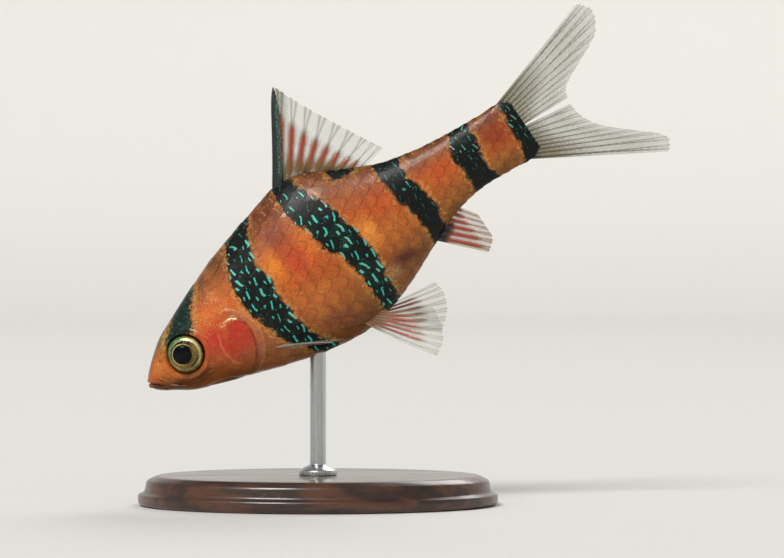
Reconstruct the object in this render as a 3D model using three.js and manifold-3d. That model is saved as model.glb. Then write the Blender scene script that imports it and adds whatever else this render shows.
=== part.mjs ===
// A six-banded tiger barb, life size, swimming nose down on a plain display stand.
// Millimetres, +Z up, origin at the middle of the stand's underside.
// The fish heads for -X and its left flank faces -Y.
//
// The fish is drawn in its own frame and then tilted: x runs back from the tip of the snout along
// the body's axis, y is the half width (minus on the fish's left) and z is the height above that axis.
import * as THREE from "three";
import { mergeVertices } from "three/addons/utils/BufferGeometryUtils.js";
import Module from "manifold-3d";

const wasm = await Module();
wasm.setup();

// Driving sizes of the fish.
const NOSE_DOWN = THREE.MathUtils.degToRad(34);
const BODY_END = 45.3;
const GAP = 0.3;

// Driving sizes of the stand.
const BASE_LENGTH = 36;
const BASE_WIDTH = 25;
const BASE_HEIGHT = 3;
// The base's moulded edge: how far in from the widest line, and at what height.
const BASE_MOULDING = [
  [0.3, 0],
  [0, 0.3],
  [0, 1.15],
  [0.45, 1.4],
  [0.6, 2.5],
  [1.3, 3],
];
const ROD_RADIUS = 0.8;
const ROD_TENON = 1.6;
const FLANGE_RADIUS = 1.9;
const FLANGE_HEIGHT = 0.6;

// Where the tip of the snout is held above the stand.
const SNOUT = new THREE.Vector3(-16.8, 0, 12.4);

// Colours, roughness and metalness of each part.
function finish(color, roughness, metalness = 0) {
  return new THREE.MeshStandardMaterial({ color, roughness, metalness });
}
const FINISH = {
  flesh: () => finish(0xc9662f, 0.38, 0.1),
  head: () => finish(0xc4703a, 0.36, 0.1),
  gill: () => finish(0xbf3f28, 0.3, 0.1),
  redFin: () => finish(0xa6452c, 0.5),
  clearFin: () => finish(0xb4b8a2, 0.45),
  iris: () => finish(0xb49a4e, 0.25, 0.5),
  pupil: () => finish(0x07090f, 0.08),
  wood: () => finish(0x3a2317, 0.4),
  steel: () => finish(0xb9bcc0, 0.3, 1),
};

// The body at a few stations: distance behind the snout, heights of the back and of the belly,
// half of the greatest width, the height at which the body is widest, and how broad the back is
// (2 is round, less is a narrow keel).
const STATIONS = [
  { s: -0.12, back: 0.05, belly: -0.72, half: 0.46, waist: -0.3, breadth: 2.2 },
  { s: 0.06, back: 0.42, belly: -1.05, half: 0.86, waist: -0.26, breadth: 2.2 },
  { s: 0.6, back: 0.98, belly: -1.52, half: 1.28, waist: -0.2, breadth: 2.2 },
  { s: 1.6, back: 1.86, belly: -2.16, half: 1.72, waist: -0.1, breadth: 2.25 },
  { s: 3.2, back: 3.04, belly: -3.2, half: 2.24, waist: 0, breadth: 2.3 },
  { s: 5.3, back: 4.0, belly: -4.0, half: 2.76, waist: 0, breadth: 2.3 },
  { s: 8.0, back: 5.2, belly: -4.96, half: 3.26, waist: 0, breadth: 2.1 },
  { s: 11.5, back: 6.62, belly: -6.12, half: 3.64, waist: 0.1, breadth: 1.8 },
  { s: 15.2, back: 7.72, belly: -7.2, half: 3.78, waist: 0.25, breadth: 1.65 },
  { s: 18.2, back: 8.5, belly: -7.78, half: 3.68, waist: 0.3, breadth: 1.6 },
  { s: 21.2, back: 9.18, belly: -7.98, half: 3.4, waist: 0.4, breadth: 1.55 },
  { s: 24.3, back: 8.72, belly: -7.42, half: 3.02, waist: 0.4, breadth: 1.55 },
  { s: 27.4, back: 7.06, belly: -6.36, half: 2.55, waist: 0.4, breadth: 1.6 },
  { s: 31.0, back: 5.36, belly: -4.78, half: 2.04, waist: 0.45, breadth: 1.75 },
  { s: 34.8, back: 4.4, belly: -3.2, half: 1.62, waist: 0.6, breadth: 1.85 },
  { s: 38.5, back: 3.92, belly: -2.58, half: 1.28, waist: 0.65, breadth: 1.9 },
  { s: 42.0, back: 3.68, belly: -2.78, half: 0.96, waist: 0.5, breadth: 1.9 },
  { s: 44.4, back: 3.6, belly: -2.96, half: 0.62, waist: 0.4, breadth: 1.9 },
  { s: BODY_END, back: 3.1, belly: -2.5, half: 0.34, waist: 0.3, breadth: 1.9 },
];
// How full a section is towards its upper and lower edges, and how broad the belly is.
const BACK_RISE = 2.1;
const BELLY_RISE = 2.3;
const BELLY_BREADTH = 2.1;

// A smooth line through the stations, for one of their columns.
function column(key) {
  const slope = STATIONS.map((here, i) => {
    const before = STATIONS[Math.max(i - 1, 0)];
    const after = STATIONS[Math.min(i + 1, STATIONS.length - 1)];
    return (after[key] - before[key]) / (after.s - before.s);
  });
  return (s) => {
    const last = STATIONS.length - 2;
    const found = STATIONS.findIndex((station) => station.s > s) - 1;
    const i = found < -1 ? last : Math.max(found, 0);
    const [a, b] = [STATIONS[i], STATIONS[i + 1]];
    const span = b.s - a.s;
    const t = THREE.MathUtils.clamp((s - a.s) / span, 0, 1);
    const [t2, t3] = [t * t, t * t * t];
    return (
      a[key] * (2 * t3 - 3 * t2 + 1) +
      b[key] * (3 * t2 - 2 * t3) +
      slope[i] * span * (t3 - 2 * t2 + t) +
      slope[i + 1] * span * (t3 - t2)
    );
  };
}
const back = column("back");
const belly = column("belly");
const half = column("half");
const waist = column("waist");
const breadth = column("breadth");

// Half width of the body at distance s and height z.
function halfWidthAt(s, z, grow = 0) {
  const up = z > waist(s);
  const edge = up ? back(s) + grow : belly(s) - grow;
  const rise = Math.min(Math.abs((z - waist(s)) / (edge - waist(s))), 1);
  const fullness = 1 - rise ** (up ? BACK_RISE : BELLY_RISE);
  return (half(s) + grow) * fullness ** (1 / (up ? breadth(s) : BELLY_BREADTH));
}

// Point of the left (-1) or right (1) flank, and the way that the skin faces there.
function flank(s, z, side) {
  const step = 0.05;
  const y = halfWidthAt(s, z);
  const along = (halfWidthAt(s + step, z) - halfWidthAt(s - step, z)) / (2 * step);
  const up = (halfWidthAt(s, z + step) - halfWidthAt(s, z - step)) / (2 * step);
  return {
    at: new THREE.Vector3(s, side * y, z),
    facing: new THREE.Vector3(-along, side, -up).normalize(),
  };
}

// A closed mesh as a solid, with its faces turned out.
function solid(geometry, matrix = new THREE.Matrix4()) {
  const bare = (geometry.index ? geometry.toNonIndexed() : geometry.clone()).applyMatrix4(matrix);
  bare.deleteAttribute("normal");
  bare.deleteAttribute("uv");
  const merged = mergeVertices(bare, 1e-4);
  const vertProperties = merged.attributes.position.array;
  const build = (triVerts) => new wasm.Manifold(new wasm.Mesh({ numProp: 3, vertProperties, triVerts }));
  const made = build(new Uint32Array(merged.index.array));
  return made.volume() > 0 ? made : build(new Uint32Array(merged.index.array).reverse());
}

// The largest closed surface of a solid, which drops a loose scrap.
const largest = (made) => made.decompose().reduce((a, b) => (a.volume() > b.volume() ? a : b));

function node(name, made, material) {
  const cut = largest(made).getMesh();
  const positions = new Float32Array(cut.numVert * 3);
  for (let i = 0; i < cut.numVert; i++) {
    positions.set(cut.vertProperties.subarray(i * cut.numProp, i * cut.numProp + 3), i * 3);
  }
  const geometry = new THREE.BufferGeometry();
  geometry.setAttribute("position", new THREE.BufferAttribute(positions, 3));
  geometry.setIndex(new THREE.BufferAttribute(cut.triVerts, 1));
  geometry.computeVertexNormals();
  const mesh = new THREE.Mesh(geometry, material);
  mesh.name = name;
  return mesh;
}

// The whole body as one closed loft, grown or shrunk all round by a few tenths.
const RING_POINTS = 32;
const RINGS = 42;
function bodyLoft(grow = 0) {
  const rings = new THREE.CylinderGeometry(1, 1, 1, RING_POINTS, RINGS);
  const place = rings.attributes.position;
  const start = STATIONS[0].s;
  for (let i = 0; i < place.count; i++) {
    const along = place.getY(i) + 0.5;
    const [across, rise] = [place.getX(i), place.getZ(i)];
    // Rings crowd together towards the snout, where the shape turns fastest.
    const s = start + (BODY_END - start) * along ** 1.35;
    const reach = Math.hypot(across, rise);
    const up = rise > 0;
    const edge = up ? back(s) + grow : belly(s) - grow;
    const [sine, cosine] = reach > 1e-6 ? [Math.abs(rise) / reach, Math.abs(across) / reach] : [0, 0];
    const y = Math.sign(across) * (half(s) + grow) * cosine ** (2 / (up ? breadth(s) : BELLY_BREADTH));
    const z = waist(s) + (edge - waist(s)) * sine ** (2 / (up ? BACK_RISE : BELLY_RISE));
    const atEnd = along < 1e-6 ? -grow : along > 1 - 1e-6 ? grow : 0;
    place.setXYZ(i, s + atEnd, y, reach > 1e-6 ? z : waist(s));
  }
  return solid(rings);
}

// A flat outline in the side view, pushed through the whole width of the fish.
function throughFish(points) {
  const shape = new THREE.Shape(points.map(([s, z]) => new THREE.Vector2(s, z)));
  const depth = 20;
  const slab = new THREE.ExtrudeGeometry(shape, { depth, bevelEnabled: false, steps: 1 });
  const stand = new THREE.Matrix4().makeRotationX(Math.PI / 2).setPosition(0, depth / 2, 0);
  return solid(slab, stand);
}

// A smooth open line through a few points of the side view, moved back by some distance at right
// angles to itself.
function sideLine(anchors, shift, steps = 18) {
  const curve = new THREE.SplineCurve(anchors.map(([s, z]) => new THREE.Vector2(s, z)));
  return Array.from({ length: steps + 1 }, (_, i) => {
    const at = curve.getPoint(i / steps);
    const run = curve.getTangent(i / steps);
    return [at.x - run.y * shift, at.y + run.x * shift];
  });
}

// Rear edge of the head, from the nape down round the gill cover to the throat.
const GILL_EDGE = [
  [8.2, 8.2],
  [9.3, 4.4],
  [11.0, 1.2],
  [11.95, -1.6],
  [11.6, -3.9],
  [9.9, -5.2],
  [7.4, -7.4],
];
// Front edge of the gill cover, on the cheek.
const CHEEK_EDGE = [
  [9.6, 0.75],
  [8.35, 0.05],
  [8.0, -1.6],
  [8.5, -3.3],
  [9.6, -4.35],
];
// Line between the trunk and the tail stem.
const STEM_EDGE = [
  [33.7, 12],
  [34.9, 0.6],
  [33.7, -11],
];
const ahead = (line) => [[-9, line[0][1]], ...line, [-9, line.at(-1)[1]]];

const headRegion = (shift) => throughFish(ahead(sideLine(GILL_EDGE, shift)));
const stemAhead = (shift) => throughFish(ahead(sideLine(STEM_EDGE, shift)));

// Outline of a gill cover: the cheek's edge, and the stretch of the head's rear edge level with it.
function gillOutline(grow) {
  const rear = sideLine([[11.15, 0.85], [11.95, -1.6], [11.6, -3.75], [10.9, -4.45]], grow, 10);
  const front = sideLine([...CHEEK_EDGE].reverse(), grow, 12);
  return throughFish([...rear, ...front]);
}

// Eyes.
const EYE = { s: 4.55, z: 0.2, radius: 1.9, bulge: 1.1, sunk: 0.46 };
const PUPIL = { radius: 0.92, depth: 0.5, proud: 0.05, rounding: 0.14 };
const ORBIT_RIM = { radius: 2.3, thick: 0.22, sunk: 0.1 };

// Frame of one eye: its y axis looks out of the head.
function eyeFrame(side) {
  const { at, facing } = flank(EYE.s, EYE.z, side);
  const turn = new THREE.Quaternion().setFromUnitVectors(new THREE.Vector3(0, 1, 0), facing);
  const middle = at.addScaledVector(facing, -EYE.sunk);
  return new THREE.Matrix4().compose(middle, turn, new THREE.Vector3(1, 1, 1));
}
function eyeball(side, grow = 0) {
  const ball = new THREE.SphereGeometry(1, 24, 12);
  ball.scale(EYE.radius + grow, EYE.bulge + grow, EYE.radius + grow);
  return solid(ball, eyeFrame(side));
}
// The pupil is a short round plug let into the front of the eye, with its own front edge rounded.
function pupilPlug(side, grow = 0) {
  const radius = PUPIL.radius + grow;
  const front = EYE.bulge + (grow ? 1 : PUPIL.proud);
  const rear = EYE.bulge - PUPIL.depth - grow;
  const outline = [
    [0, rear],
    [radius, rear],
    [radius, front - PUPIL.rounding],
    [radius * 0.75, front - PUPIL.rounding * 0.3],
    [0, front],
  ].map(([r, y]) => new THREE.Vector2(r, y));
  return solid(new THREE.LatheGeometry(outline, 24), eyeFrame(side));
}
// The rim of the eye's socket lies on the head all the way round.
function orbitRim(side) {
  const ring = new THREE.TorusGeometry(ORBIT_RIM.radius, ORBIT_RIM.thick, 6, 24).rotateX(Math.PI / 2);
  const place = ring.attributes.position;
  for (let i = 0; i < place.count; i++) {
    const out = Math.hypot(place.getX(i), place.getZ(i));
    const lay = ORBIT_RIM.radius / out;
    const skin = halfWidthAt(EYE.s + place.getX(i) * lay, EYE.z + place.getZ(i) * lay) - ORBIT_RIM.sunk;
    place.setXYZ(i, EYE.s + place.getX(i), side * (skin + place.getY(i)), EYE.z + place.getZ(i));
  }
  return solid(ring);
}

// Mouth: a slit that runs down and back from the tip of the snout, between two lips.
const MOUTH = { front: -0.12, height: -0.22, slope: -0.95, corner: 1.15, slit: 0.12, depth: 0.2 };
const LIP = { radius: 0.22, sunk: 0.12, ends: 0.45 };
function lip(offset) {
  const stops = [1, 0.72, 0.42, 0.14];
  const rim = (side) =>
    stops.map((part) => {
      const s = MOUTH.front + (MOUTH.corner - MOUTH.front) * part;
      const z = MOUTH.height + MOUTH.slope * (s - MOUTH.front) + offset;
      return new THREE.Vector3(s, side * (halfWidthAt(s, z) - LIP.sunk), z);
    });
  const tip = new THREE.Vector3(MOUTH.front + LIP.sunk, 0, MOUTH.height + offset);
  const line = new THREE.CatmullRomCurve3([...rim(-1), tip, ...rim(1).reverse()]);
  return roundRod(line, LIP.radius, LIP.ends, 16);
}
function mouthSlit() {
  const length = 2 * (MOUTH.corner - MOUTH.front);
  const turn = new THREE.Matrix4().makeRotationY(-Math.atan(MOUTH.slope));
  const box = new THREE.BoxGeometry(length, 6, MOUTH.slit);
  const slot = solid(box, turn.setPosition(MOUTH.front, 0, MOUTH.height));
  // The jaws behind the groove.
  const deep = MOUTH.corner + 0.5;
  const wide = halfWidthAt(deep, MOUTH.height) - MOUTH.depth;
  const jaws = new THREE.SphereGeometry(1, 16, 10).scale(deep - MOUTH.front - MOUTH.depth, wide, 2.5);
  return slot.subtract(solid(jaws, new THREE.Matrix4().makeTranslation(deep, 0, MOUTH.height)));
}

// A round rod along a curve, with closed ends. It tapers to a part of its radius at the far end, or
// at both ends.
function roundRod(curve, radius, endPart, steps, bothEnds = true) {
  const section = new THREE.Shape().absarc(0, 0, radius, 0, 2 * Math.PI);
  const rod = new THREE.ExtrudeGeometry(section, { steps, curveSegments: 4, extrudePath: curve });
  const place = rod.attributes.position;
  const stations = Array.from({ length: steps + 1 }, (_, i) => curve.getPointAt(i / steps));
  const point = new THREE.Vector3();
  for (let i = 0; i < place.count; i++) {
    point.fromBufferAttribute(place, i);
    const reach = stations.map((at) => at.distanceTo(point));
    const nearest = reach.indexOf(Math.min(...reach));
    const along = nearest / steps;
    const fade = bothEnds ? Math.abs(2 * along - 1) ** 3 : along;
    const middle = stations[nearest];
    point.sub(middle).multiplyScalar(1 + (endPart - 1) * fade).add(middle);
    place.setXYZ(i, point.x, point.y, point.z);
  }
  return solid(rod);
}

// Barbels: one pair on the snout and one at the corners of the mouth, laid back along the cheek.
// Each starts inside the head and lifts a little off it towards its tip.
const BARBELS = [
  { from: [0.75, 0.05], to: [1.9, -1.15], radius: 0.2 },
  { from: [1.3, -1.25], to: [3.1, -2.45], radius: 0.22 },
];
const BARBEL_LIFT = [-0.3, 0, 0.14, 0.2, 0.22];
function barbel({ from, to, radius }, side) {
  const line = new THREE.LineCurve(new THREE.Vector2(...from), new THREE.Vector2(...to));
  const stops = BARBEL_LIFT.map((lift, i) => {
    const on = line.getPoint(i / (BARBEL_LIFT.length - 1));
    const skin = flank(on.x, on.y, side);
    return skin.at.addScaledVector(skin.facing, lift);
  });
  return roundRod(new THREE.CatmullRomCurve3(stops), radius, 0.4, 6, false);
}

const NOSTRIL = { s: 2.05, z: 1.05, radius: 0.3, stretch: 1.5 };
function nostril(side) {
  const pit = new THREE.SphereGeometry(NOSTRIL.radius, 8, 6).scale(NOSTRIL.stretch, 1, 1);
  const { at } = flank(NOSTRIL.s, NOSTRIL.z, side);
  return solid(pit, new THREE.Matrix4().makeTranslation(at.x, at.y, at.z));
}

// A fin: rays fan out from a root line to a line of tips, with the membrane between them.
// root(a) and tip(a) give the two ends of the ray at a, from 0 at the leading edge to 1, and bow(a)
// bends it sideways. Each ray is a ridge on both faces, which forks on its way out.
const RAY_RIDGE = 0.15;
const WEB = { root: 0.27, tip: 0.14, thin: 0.72 };
const RAY_SHAPE = [0, 0.55, 1, 0.55];
const SPLIT_SHAPE = [0, 1, 0.35, 1];
function fin({ rays, rows, root, tip, bow, leading = 0, split = 0.45, notch = 0.03 }) {
  const perRay = RAY_SHAPE.length;
  const columns = rays * perRay;
  const pointAt = (i, j) => {
    const a = i / columns;
    const atRay = RAY_SHAPE[i % perRay];
    const t = (j / rows) * (1 - notch * (1 - atRay));
    return root(a).lerp(tip(a), t).addScaledVector(bow(a), 4 * t * (1 - t));
  };
  const halfThickness = (i, j) => {
    const t = j / rows;
    const forked = THREE.MathUtils.smoothstep(t, split - 0.15, split + 0.15);
    const ridge = THREE.MathUtils.lerp(RAY_SHAPE[i % perRay], SPLIT_SHAPE[i % perRay], forked);
    const web = THREE.MathUtils.lerp(WEB.root, WEB.tip, THREE.MathUtils.smoothstep(t, WEB.thin, 1));
    const lead = leading * Math.max(0, 1 - i / perRay) * (1 - 0.8 * t);
    return web + RAY_RIDGE * ridge * (1 - 0.65 * t) + lead;
  };
  const grid = [];
  for (let i = 0; i <= columns; i++) {
    for (let j = 0; j <= rows; j++) grid.push(pointAt(i, j));
  }
  const at = (i, j) => grid[i * (rows + 1) + j];
  const positions = [];
  for (const side of [1, -1]) {
    for (let i = 0; i <= columns; i++) {
      for (let j = 0; j <= rows; j++) {
        const across = at(Math.min(i + 1, columns), j).clone().sub(at(Math.max(i - 1, 0), j));
        const along = at(i, Math.min(j + 1, rows)).clone().sub(at(i, Math.max(j - 1, 0)));
        const face = across.cross(along).normalize();
        positions.push(...at(i, j).clone().addScaledVector(face, side * halfThickness(i, j)).toArray());
      }
    }
  }
  const other = (columns + 1) * (rows + 1);
  const id = (i, j) => i * (rows + 1) + j;
  const faces = [];
  for (let i = 0; i < columns; i++) {
    for (let j = 0; j < rows; j++) {
      const [p, q, r, s] = [id(i, j), id(i + 1, j), id(i + 1, j + 1), id(i, j + 1)];
      faces.push(p, q, r, p, r, s);
      faces.push(p + other, r + other, q + other, p + other, s + other, r + other);
    }
  }
  const rim = (p, q) => faces.push(p, p + other, q + other, p, q + other, q);
  for (let i = 0; i < columns; i++) {
    rim(id(i, 0), id(i + 1, 0));
    rim(id(i + 1, rows), id(i, rows));
  }
  for (let j = 0; j < rows; j++) {
    rim(id(0, j + 1), id(0, j));
    rim(id(columns, j), id(columns, j + 1));
  }
  const geometry = new THREE.BufferGeometry();
  geometry.setAttribute("position", new THREE.Float32BufferAttribute(positions, 3));
  geometry.setIndex(faces);
  return solid(geometry);
}

// A smooth line through points given as [x, y, z].
function through(points) {
  const curve = new THREE.CatmullRomCurve3(points.map((p) => new THREE.Vector3(...p)));
  return (a) => curve.getPoint(a);
}

const SINK = 0.9;
const sway = (amount) => () => new THREE.Vector3(0, amount, 0);

function dorsalFin() {
  const [start, end] = [21.0, 28.7];
  return fin({
    rays: 9,
    rows: 6,
    leading: 0.2,
    root: (a) => {
      const s = THREE.MathUtils.lerp(start, end, a);
      return new THREE.Vector3(s, 0, back(s) - SINK);
    },
    tip: through([
      [26.7, 0.5, 17.7],
      [28.2, 0.6, 14.2],
      [29.9, 0.6, 10.9],
      [31.5, 0.5, 7.9],
      [32.4, 0.4, 6.3],
    ]),
    bow: sway(-0.25),
  });
}

function analFin() {
  const [start, end] = [31.1, 35.0];
  return fin({
    rays: 6,
    rows: 5,
    leading: 0.1,
    root: (a) => {
      const s = THREE.MathUtils.lerp(start, end, a);
      return new THREE.Vector3(s, 0, belly(s) + SINK);
    },
    tip: through([[35.3, -0.3, -8.3], [36.4, -0.4, -7.3], [36.5, -0.4, -5.9], [36.5, -0.3, -4.5]]),
    bow: sway(0.15),
  });
}

// The tail fin's two lobes meet along the middle of the fork, GAP apart.
const TAIL_ROOT = { edge: 43.9, heart: 44.6, upper: 3.5, lower: -2.85, middle: 0.35 };
const UPPER_TIPS = [
  [56.7, 1.0, 7.5],
  [57.6, 1.1, 6.0],
  [56.4, 0.9, 3.9],
  [53.2, 0.6, 2.3],
  [51.1, 0.4, 1.2],
  [50.5, 0.35, 0.1],
];
const LOWER_TIPS = [
  [56.1, 1.0, -10.1],
  [56.7, 1.0, -8.6],
  [54.2, 0.7, -6.2],
  [51.8, 0.5, -4.0],
  [50.7, 0.4, -2.2],
  [50.4, 0.35, -0.5],
];
function tailLobe(upper) {
  const edge = upper ? TAIL_ROOT.upper : TAIL_ROOT.lower;
  const inner = TAIL_ROOT.middle + (upper ? GAP / 2 : -GAP / 2);
  return fin({
    rays: 9,
    rows: 6,
    leading: 0.12,
    split: 0.35,
    root: (a) => {
      const s = THREE.MathUtils.lerp(TAIL_ROOT.edge, TAIL_ROOT.heart, a);
      return new THREE.Vector3(s, 0, THREE.MathUtils.lerp(edge, inner, a));
    },
    tip: through(upper ? UPPER_TIPS : LOWER_TIPS),
    bow: sway(-0.12),
  });
}

// Pelvic fins hang from the belly. The left one is spread down, the right one is swept further back.
const PELVIC_ROOT = { start: 20.9, end: 22.6, out: 1.35, sunk: 1.0 };
const LEFT_PELVIC_TIPS = [
  [25.2, -3.5, -13.9],
  [26.6, -3.5, -12.9],
  [27.4, -3.1, -11.3],
  [27.6, -2.5, -9.6],
];
const RIGHT_PELVIC_TIPS = [
  [27.0, 3.6, -12.3],
  [28.6, 3.6, -10.9],
  [29.4, 3.2, -9.1],
  [29.2, 2.5, -7.7],
];
function pelvicFin(side) {
  return fin({
    rays: 7,
    rows: 5,
    leading: 0.08,
    root: (a) => {
      const s = THREE.MathUtils.lerp(PELVIC_ROOT.start, PELVIC_ROOT.end, a);
      const out = PELVIC_ROOT.out - 0.3 * a;
      return new THREE.Vector3(s, side * out, belly(s) + PELVIC_ROOT.sunk);
    },
    tip: through(side < 0 ? LEFT_PELVIC_TIPS : RIGHT_PELVIC_TIPS),
    bow: (a) => new THREE.Vector3(0, -side * 0.2, -0.25 * (1 - a)),
  });
}

// Pectoral fins stand out from behind the gill covers, held level, so that the flank's view shows
// them edge on.
const PECTORAL_ROOT = { top: [11.85, -4.0], foot: [12.3, -4.95], sunk: 0.8 };
function pectoralFin(side) {
  return fin({
    rays: 8,
    rows: 5,
    leading: 0.06,
    root: (a) => {
      const s = THREE.MathUtils.lerp(PECTORAL_ROOT.top[0], PECTORAL_ROOT.foot[0], a);
      const z = THREE.MathUtils.lerp(PECTORAL_ROOT.top[1], PECTORAL_ROOT.foot[1], a);
      return new THREE.Vector3(s, side * (halfWidthAt(s, z) - PECTORAL_ROOT.sunk), z);
    },
    tip: through([
      [17.3, side * 7.2, -6.9],
      [18.5, side * 6.6, -7.3],
      [18.6, side * 5.6, -7.35],
      [17.9, side * 4.5, -7.1],
      [16.6, side * 3.8, -6.7],
    ]),
    bow: () => new THREE.Vector3(0, side * 0.15, 0.2),
  });
}

// Stand: a moulded oval base, and a rod with a flange that stands in the base and reaches into the belly.
function standBase() {
  const radius = BASE_WIDTH / 2;
  const edge = BASE_MOULDING.map(([inset, z]) => [radius - inset, z]);
  const outline = [[0, 0], ...edge, [0, BASE_HEIGHT]].map(([r, z]) => new THREE.Vector2(r, z));
  const disc = new THREE.LatheGeometry(outline, 72).rotateX(Math.PI / 2);
  disc.scale(BASE_LENGTH / BASE_WIDTH, 1, 1);
  const socket = new THREE.CylinderGeometry(ROD_RADIUS + GAP, ROD_RADIUS + GAP, 2 * (ROD_TENON + GAP), 24);
  const sunk = new THREE.Matrix4().makeRotationX(Math.PI / 2).setPosition(0, 0, BASE_HEIGHT);
  return solid(disc).subtract(solid(socket, sunk));
}
const ROD_TOP = 17.2;
const ROD_FOOT = BASE_HEIGHT + GAP;
function standRod() {
  const outline = [
    [0, BASE_HEIGHT - ROD_TENON],
    [ROD_RADIUS, BASE_HEIGHT - ROD_TENON],
    [ROD_RADIUS, ROD_FOOT],
    [FLANGE_RADIUS, ROD_FOOT],
    [FLANGE_RADIUS, ROD_FOOT + FLANGE_HEIGHT * 0.7],
    [FLANGE_RADIUS - 0.25, ROD_FOOT + FLANGE_HEIGHT],
    [ROD_RADIUS, ROD_FOOT + FLANGE_HEIGHT],
    [ROD_RADIUS, ROD_TOP],
    [0, ROD_TOP],
  ].map(([r, z]) => new THREE.Vector2(r, z));
  return solid(new THREE.LatheGeometry(outline, 24).rotateX(Math.PI / 2));
}

// The fish's own frame, held over the stand.
const fish = new THREE.Group();
fish.position.copy(SNOUT);
fish.rotation.y = -NOSE_DOWN;
fish.updateMatrixWorld(true);
const intoFish = fish.matrixWorld.clone().invert();

// Room for the rod's end in the belly.
function rodSocket() {
  const height = ROD_TOP + GAP;
  const room = new THREE.CylinderGeometry(ROD_RADIUS + GAP, ROD_RADIUS + GAP, height, 24);
  const stood = new THREE.Matrix4().makeRotationX(Math.PI / 2).setPosition(0, 0, height / 2);
  return solid(room, intoFish.clone().multiply(stood));
}

const body = bodyLoft();
const clear = bodyLoft(GAP);
const SIDES = { left: -1, right: 1 };
const each = (make) => Object.values(SIDES).map(make);
const sum = (first, rest) => rest.reduce((all, one) => all.add(one), first);
const cut = (first, rest) => rest.reduce((all, one) => all.subtract(one), first);

// Gill covers stand a little proud of the flank, in a shallow recess of the head.
const GILL = { proud: 0.22, thick: 0.75 };
const gillBack = GILL.proud - GILL.thick;
const gillPlates = bodyLoft(GILL.proud).subtract(bodyLoft(gillBack)).intersect(gillOutline(0));
const gillRecess = bodyLoft(2).subtract(bodyLoft(gillBack - GAP)).intersect(gillOutline(GAP));
function halfSpace(side) {
  const [length, width, height] = [80, 10, 40];
  const box = new THREE.BoxGeometry(length, width, height);
  return solid(box, new THREE.Matrix4().makeTranslation(length / 4, side * (width / 2 + GAP / 2), 0));
}

function headSolid() {
  const apart = (MOUTH.slit + LIP.radius * 1.7) / 2;
  const lips = [lip(apart), lip(-apart)];
  const feelers = BARBELS.flatMap((size) => each((side) => barbel(size, side)));
  const whole = sum(body.intersect(headRegion(0)), [...lips, ...each(orbitRim)]);
  const sockets = each((side) => eyeball(side, GAP));
  const opened = cut(whole, [mouthSlit(), ...sockets, ...each(nostril), gillRecess]);
  return sum(opened, feelers);
}

const behindHead = body.subtract(headRegion(GAP));
const trunk = behindHead.intersect(stemAhead(0)).subtract(gillRecess).subtract(rodSocket());
const tailStem = body.subtract(stemAhead(GAP));

fish.add(node("head", headSolid(), FINISH.head()));
fish.add(node("trunk", trunk, FINISH.flesh()));
fish.add(node("tail_stem", tailStem, FINISH.flesh()));
for (const [word, side] of Object.entries(SIDES)) {
  fish.add(node(`gill_cover_${word}`, gillPlates.intersect(halfSpace(side)), FINISH.gill()));
  fish.add(node(`eye_${word}`, eyeball(side).subtract(pupilPlug(side, GAP)), FINISH.iris()));
  fish.add(node(`pupil_${word}`, pupilPlug(side), FINISH.pupil()));
  fish.add(node(`pectoral_fin_${word}`, pectoralFin(side).subtract(clear), FINISH.clearFin()));
  fish.add(node(`pelvic_fin_${word}`, pelvicFin(side).subtract(clear), FINISH.redFin()));
}
fish.add(node("dorsal_fin", dorsalFin().subtract(clear), FINISH.redFin()));
fish.add(node("anal_fin", analFin().subtract(clear), FINISH.redFin()));
fish.add(node("tail_fin_upper", tailLobe(true).subtract(clear), FINISH.clearFin()));
fish.add(node("tail_fin_lower", tailLobe(false).subtract(clear), FINISH.clearFin()));

const model = new THREE.Group();
model.add(fish);
model.add(node("stand_base", standBase(), FINISH.wood()));
model.add(node("stand_rod", standRod(), FINISH.steel()));

export default model;
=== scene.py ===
"""A six-banded tiger barb, life size, nose down on a display stand: its looks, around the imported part.

The fish is drawn in a frame of its own, in millimetres: x runs back from the tip of the snout along
the body's axis, y is minus on the fish's left, and z is the height over that axis. FISH lays it into
the scene, which is in metres.
"""

import math

import bmesh
import bpy
import numpy as np
from bpy.props import FloatProperty, FloatVectorProperty, IntProperty, PointerProperty
from mathutils import Matrix, Vector


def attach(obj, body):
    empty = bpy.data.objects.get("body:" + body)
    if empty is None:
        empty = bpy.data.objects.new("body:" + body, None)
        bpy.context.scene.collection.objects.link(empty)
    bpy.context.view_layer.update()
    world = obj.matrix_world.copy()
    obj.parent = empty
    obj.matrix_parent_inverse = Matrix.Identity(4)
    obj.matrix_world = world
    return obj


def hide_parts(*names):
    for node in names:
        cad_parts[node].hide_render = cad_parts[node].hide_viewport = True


bl_info = {
    "name": "Six-banded barb",
    "version": (1, 0, 0),
    "blender": (4, 5, 0),
    "location": "View3D > Sidebar > Barb",
    "description": "Builds a life-size six-banded barb on a display stand",
    "category": "Object",
}

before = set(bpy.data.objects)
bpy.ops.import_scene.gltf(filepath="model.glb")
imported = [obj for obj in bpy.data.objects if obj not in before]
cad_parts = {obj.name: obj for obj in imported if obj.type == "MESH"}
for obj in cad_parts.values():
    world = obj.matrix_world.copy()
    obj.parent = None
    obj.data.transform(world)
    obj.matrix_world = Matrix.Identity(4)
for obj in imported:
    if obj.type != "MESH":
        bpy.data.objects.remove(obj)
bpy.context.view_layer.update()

MM = 0.001
NOSE_DOWN = math.radians(34)
SNOUT = Vector((-0.0168, 0, 0.0124))
FISH = Matrix.Translation(SNOUT) @ Matrix.Rotation(-NOSE_DOWN, 4, "Y") @ Matrix.Scale(MM, 4)
SIDES = {"left": -1, "right": 1}

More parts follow.
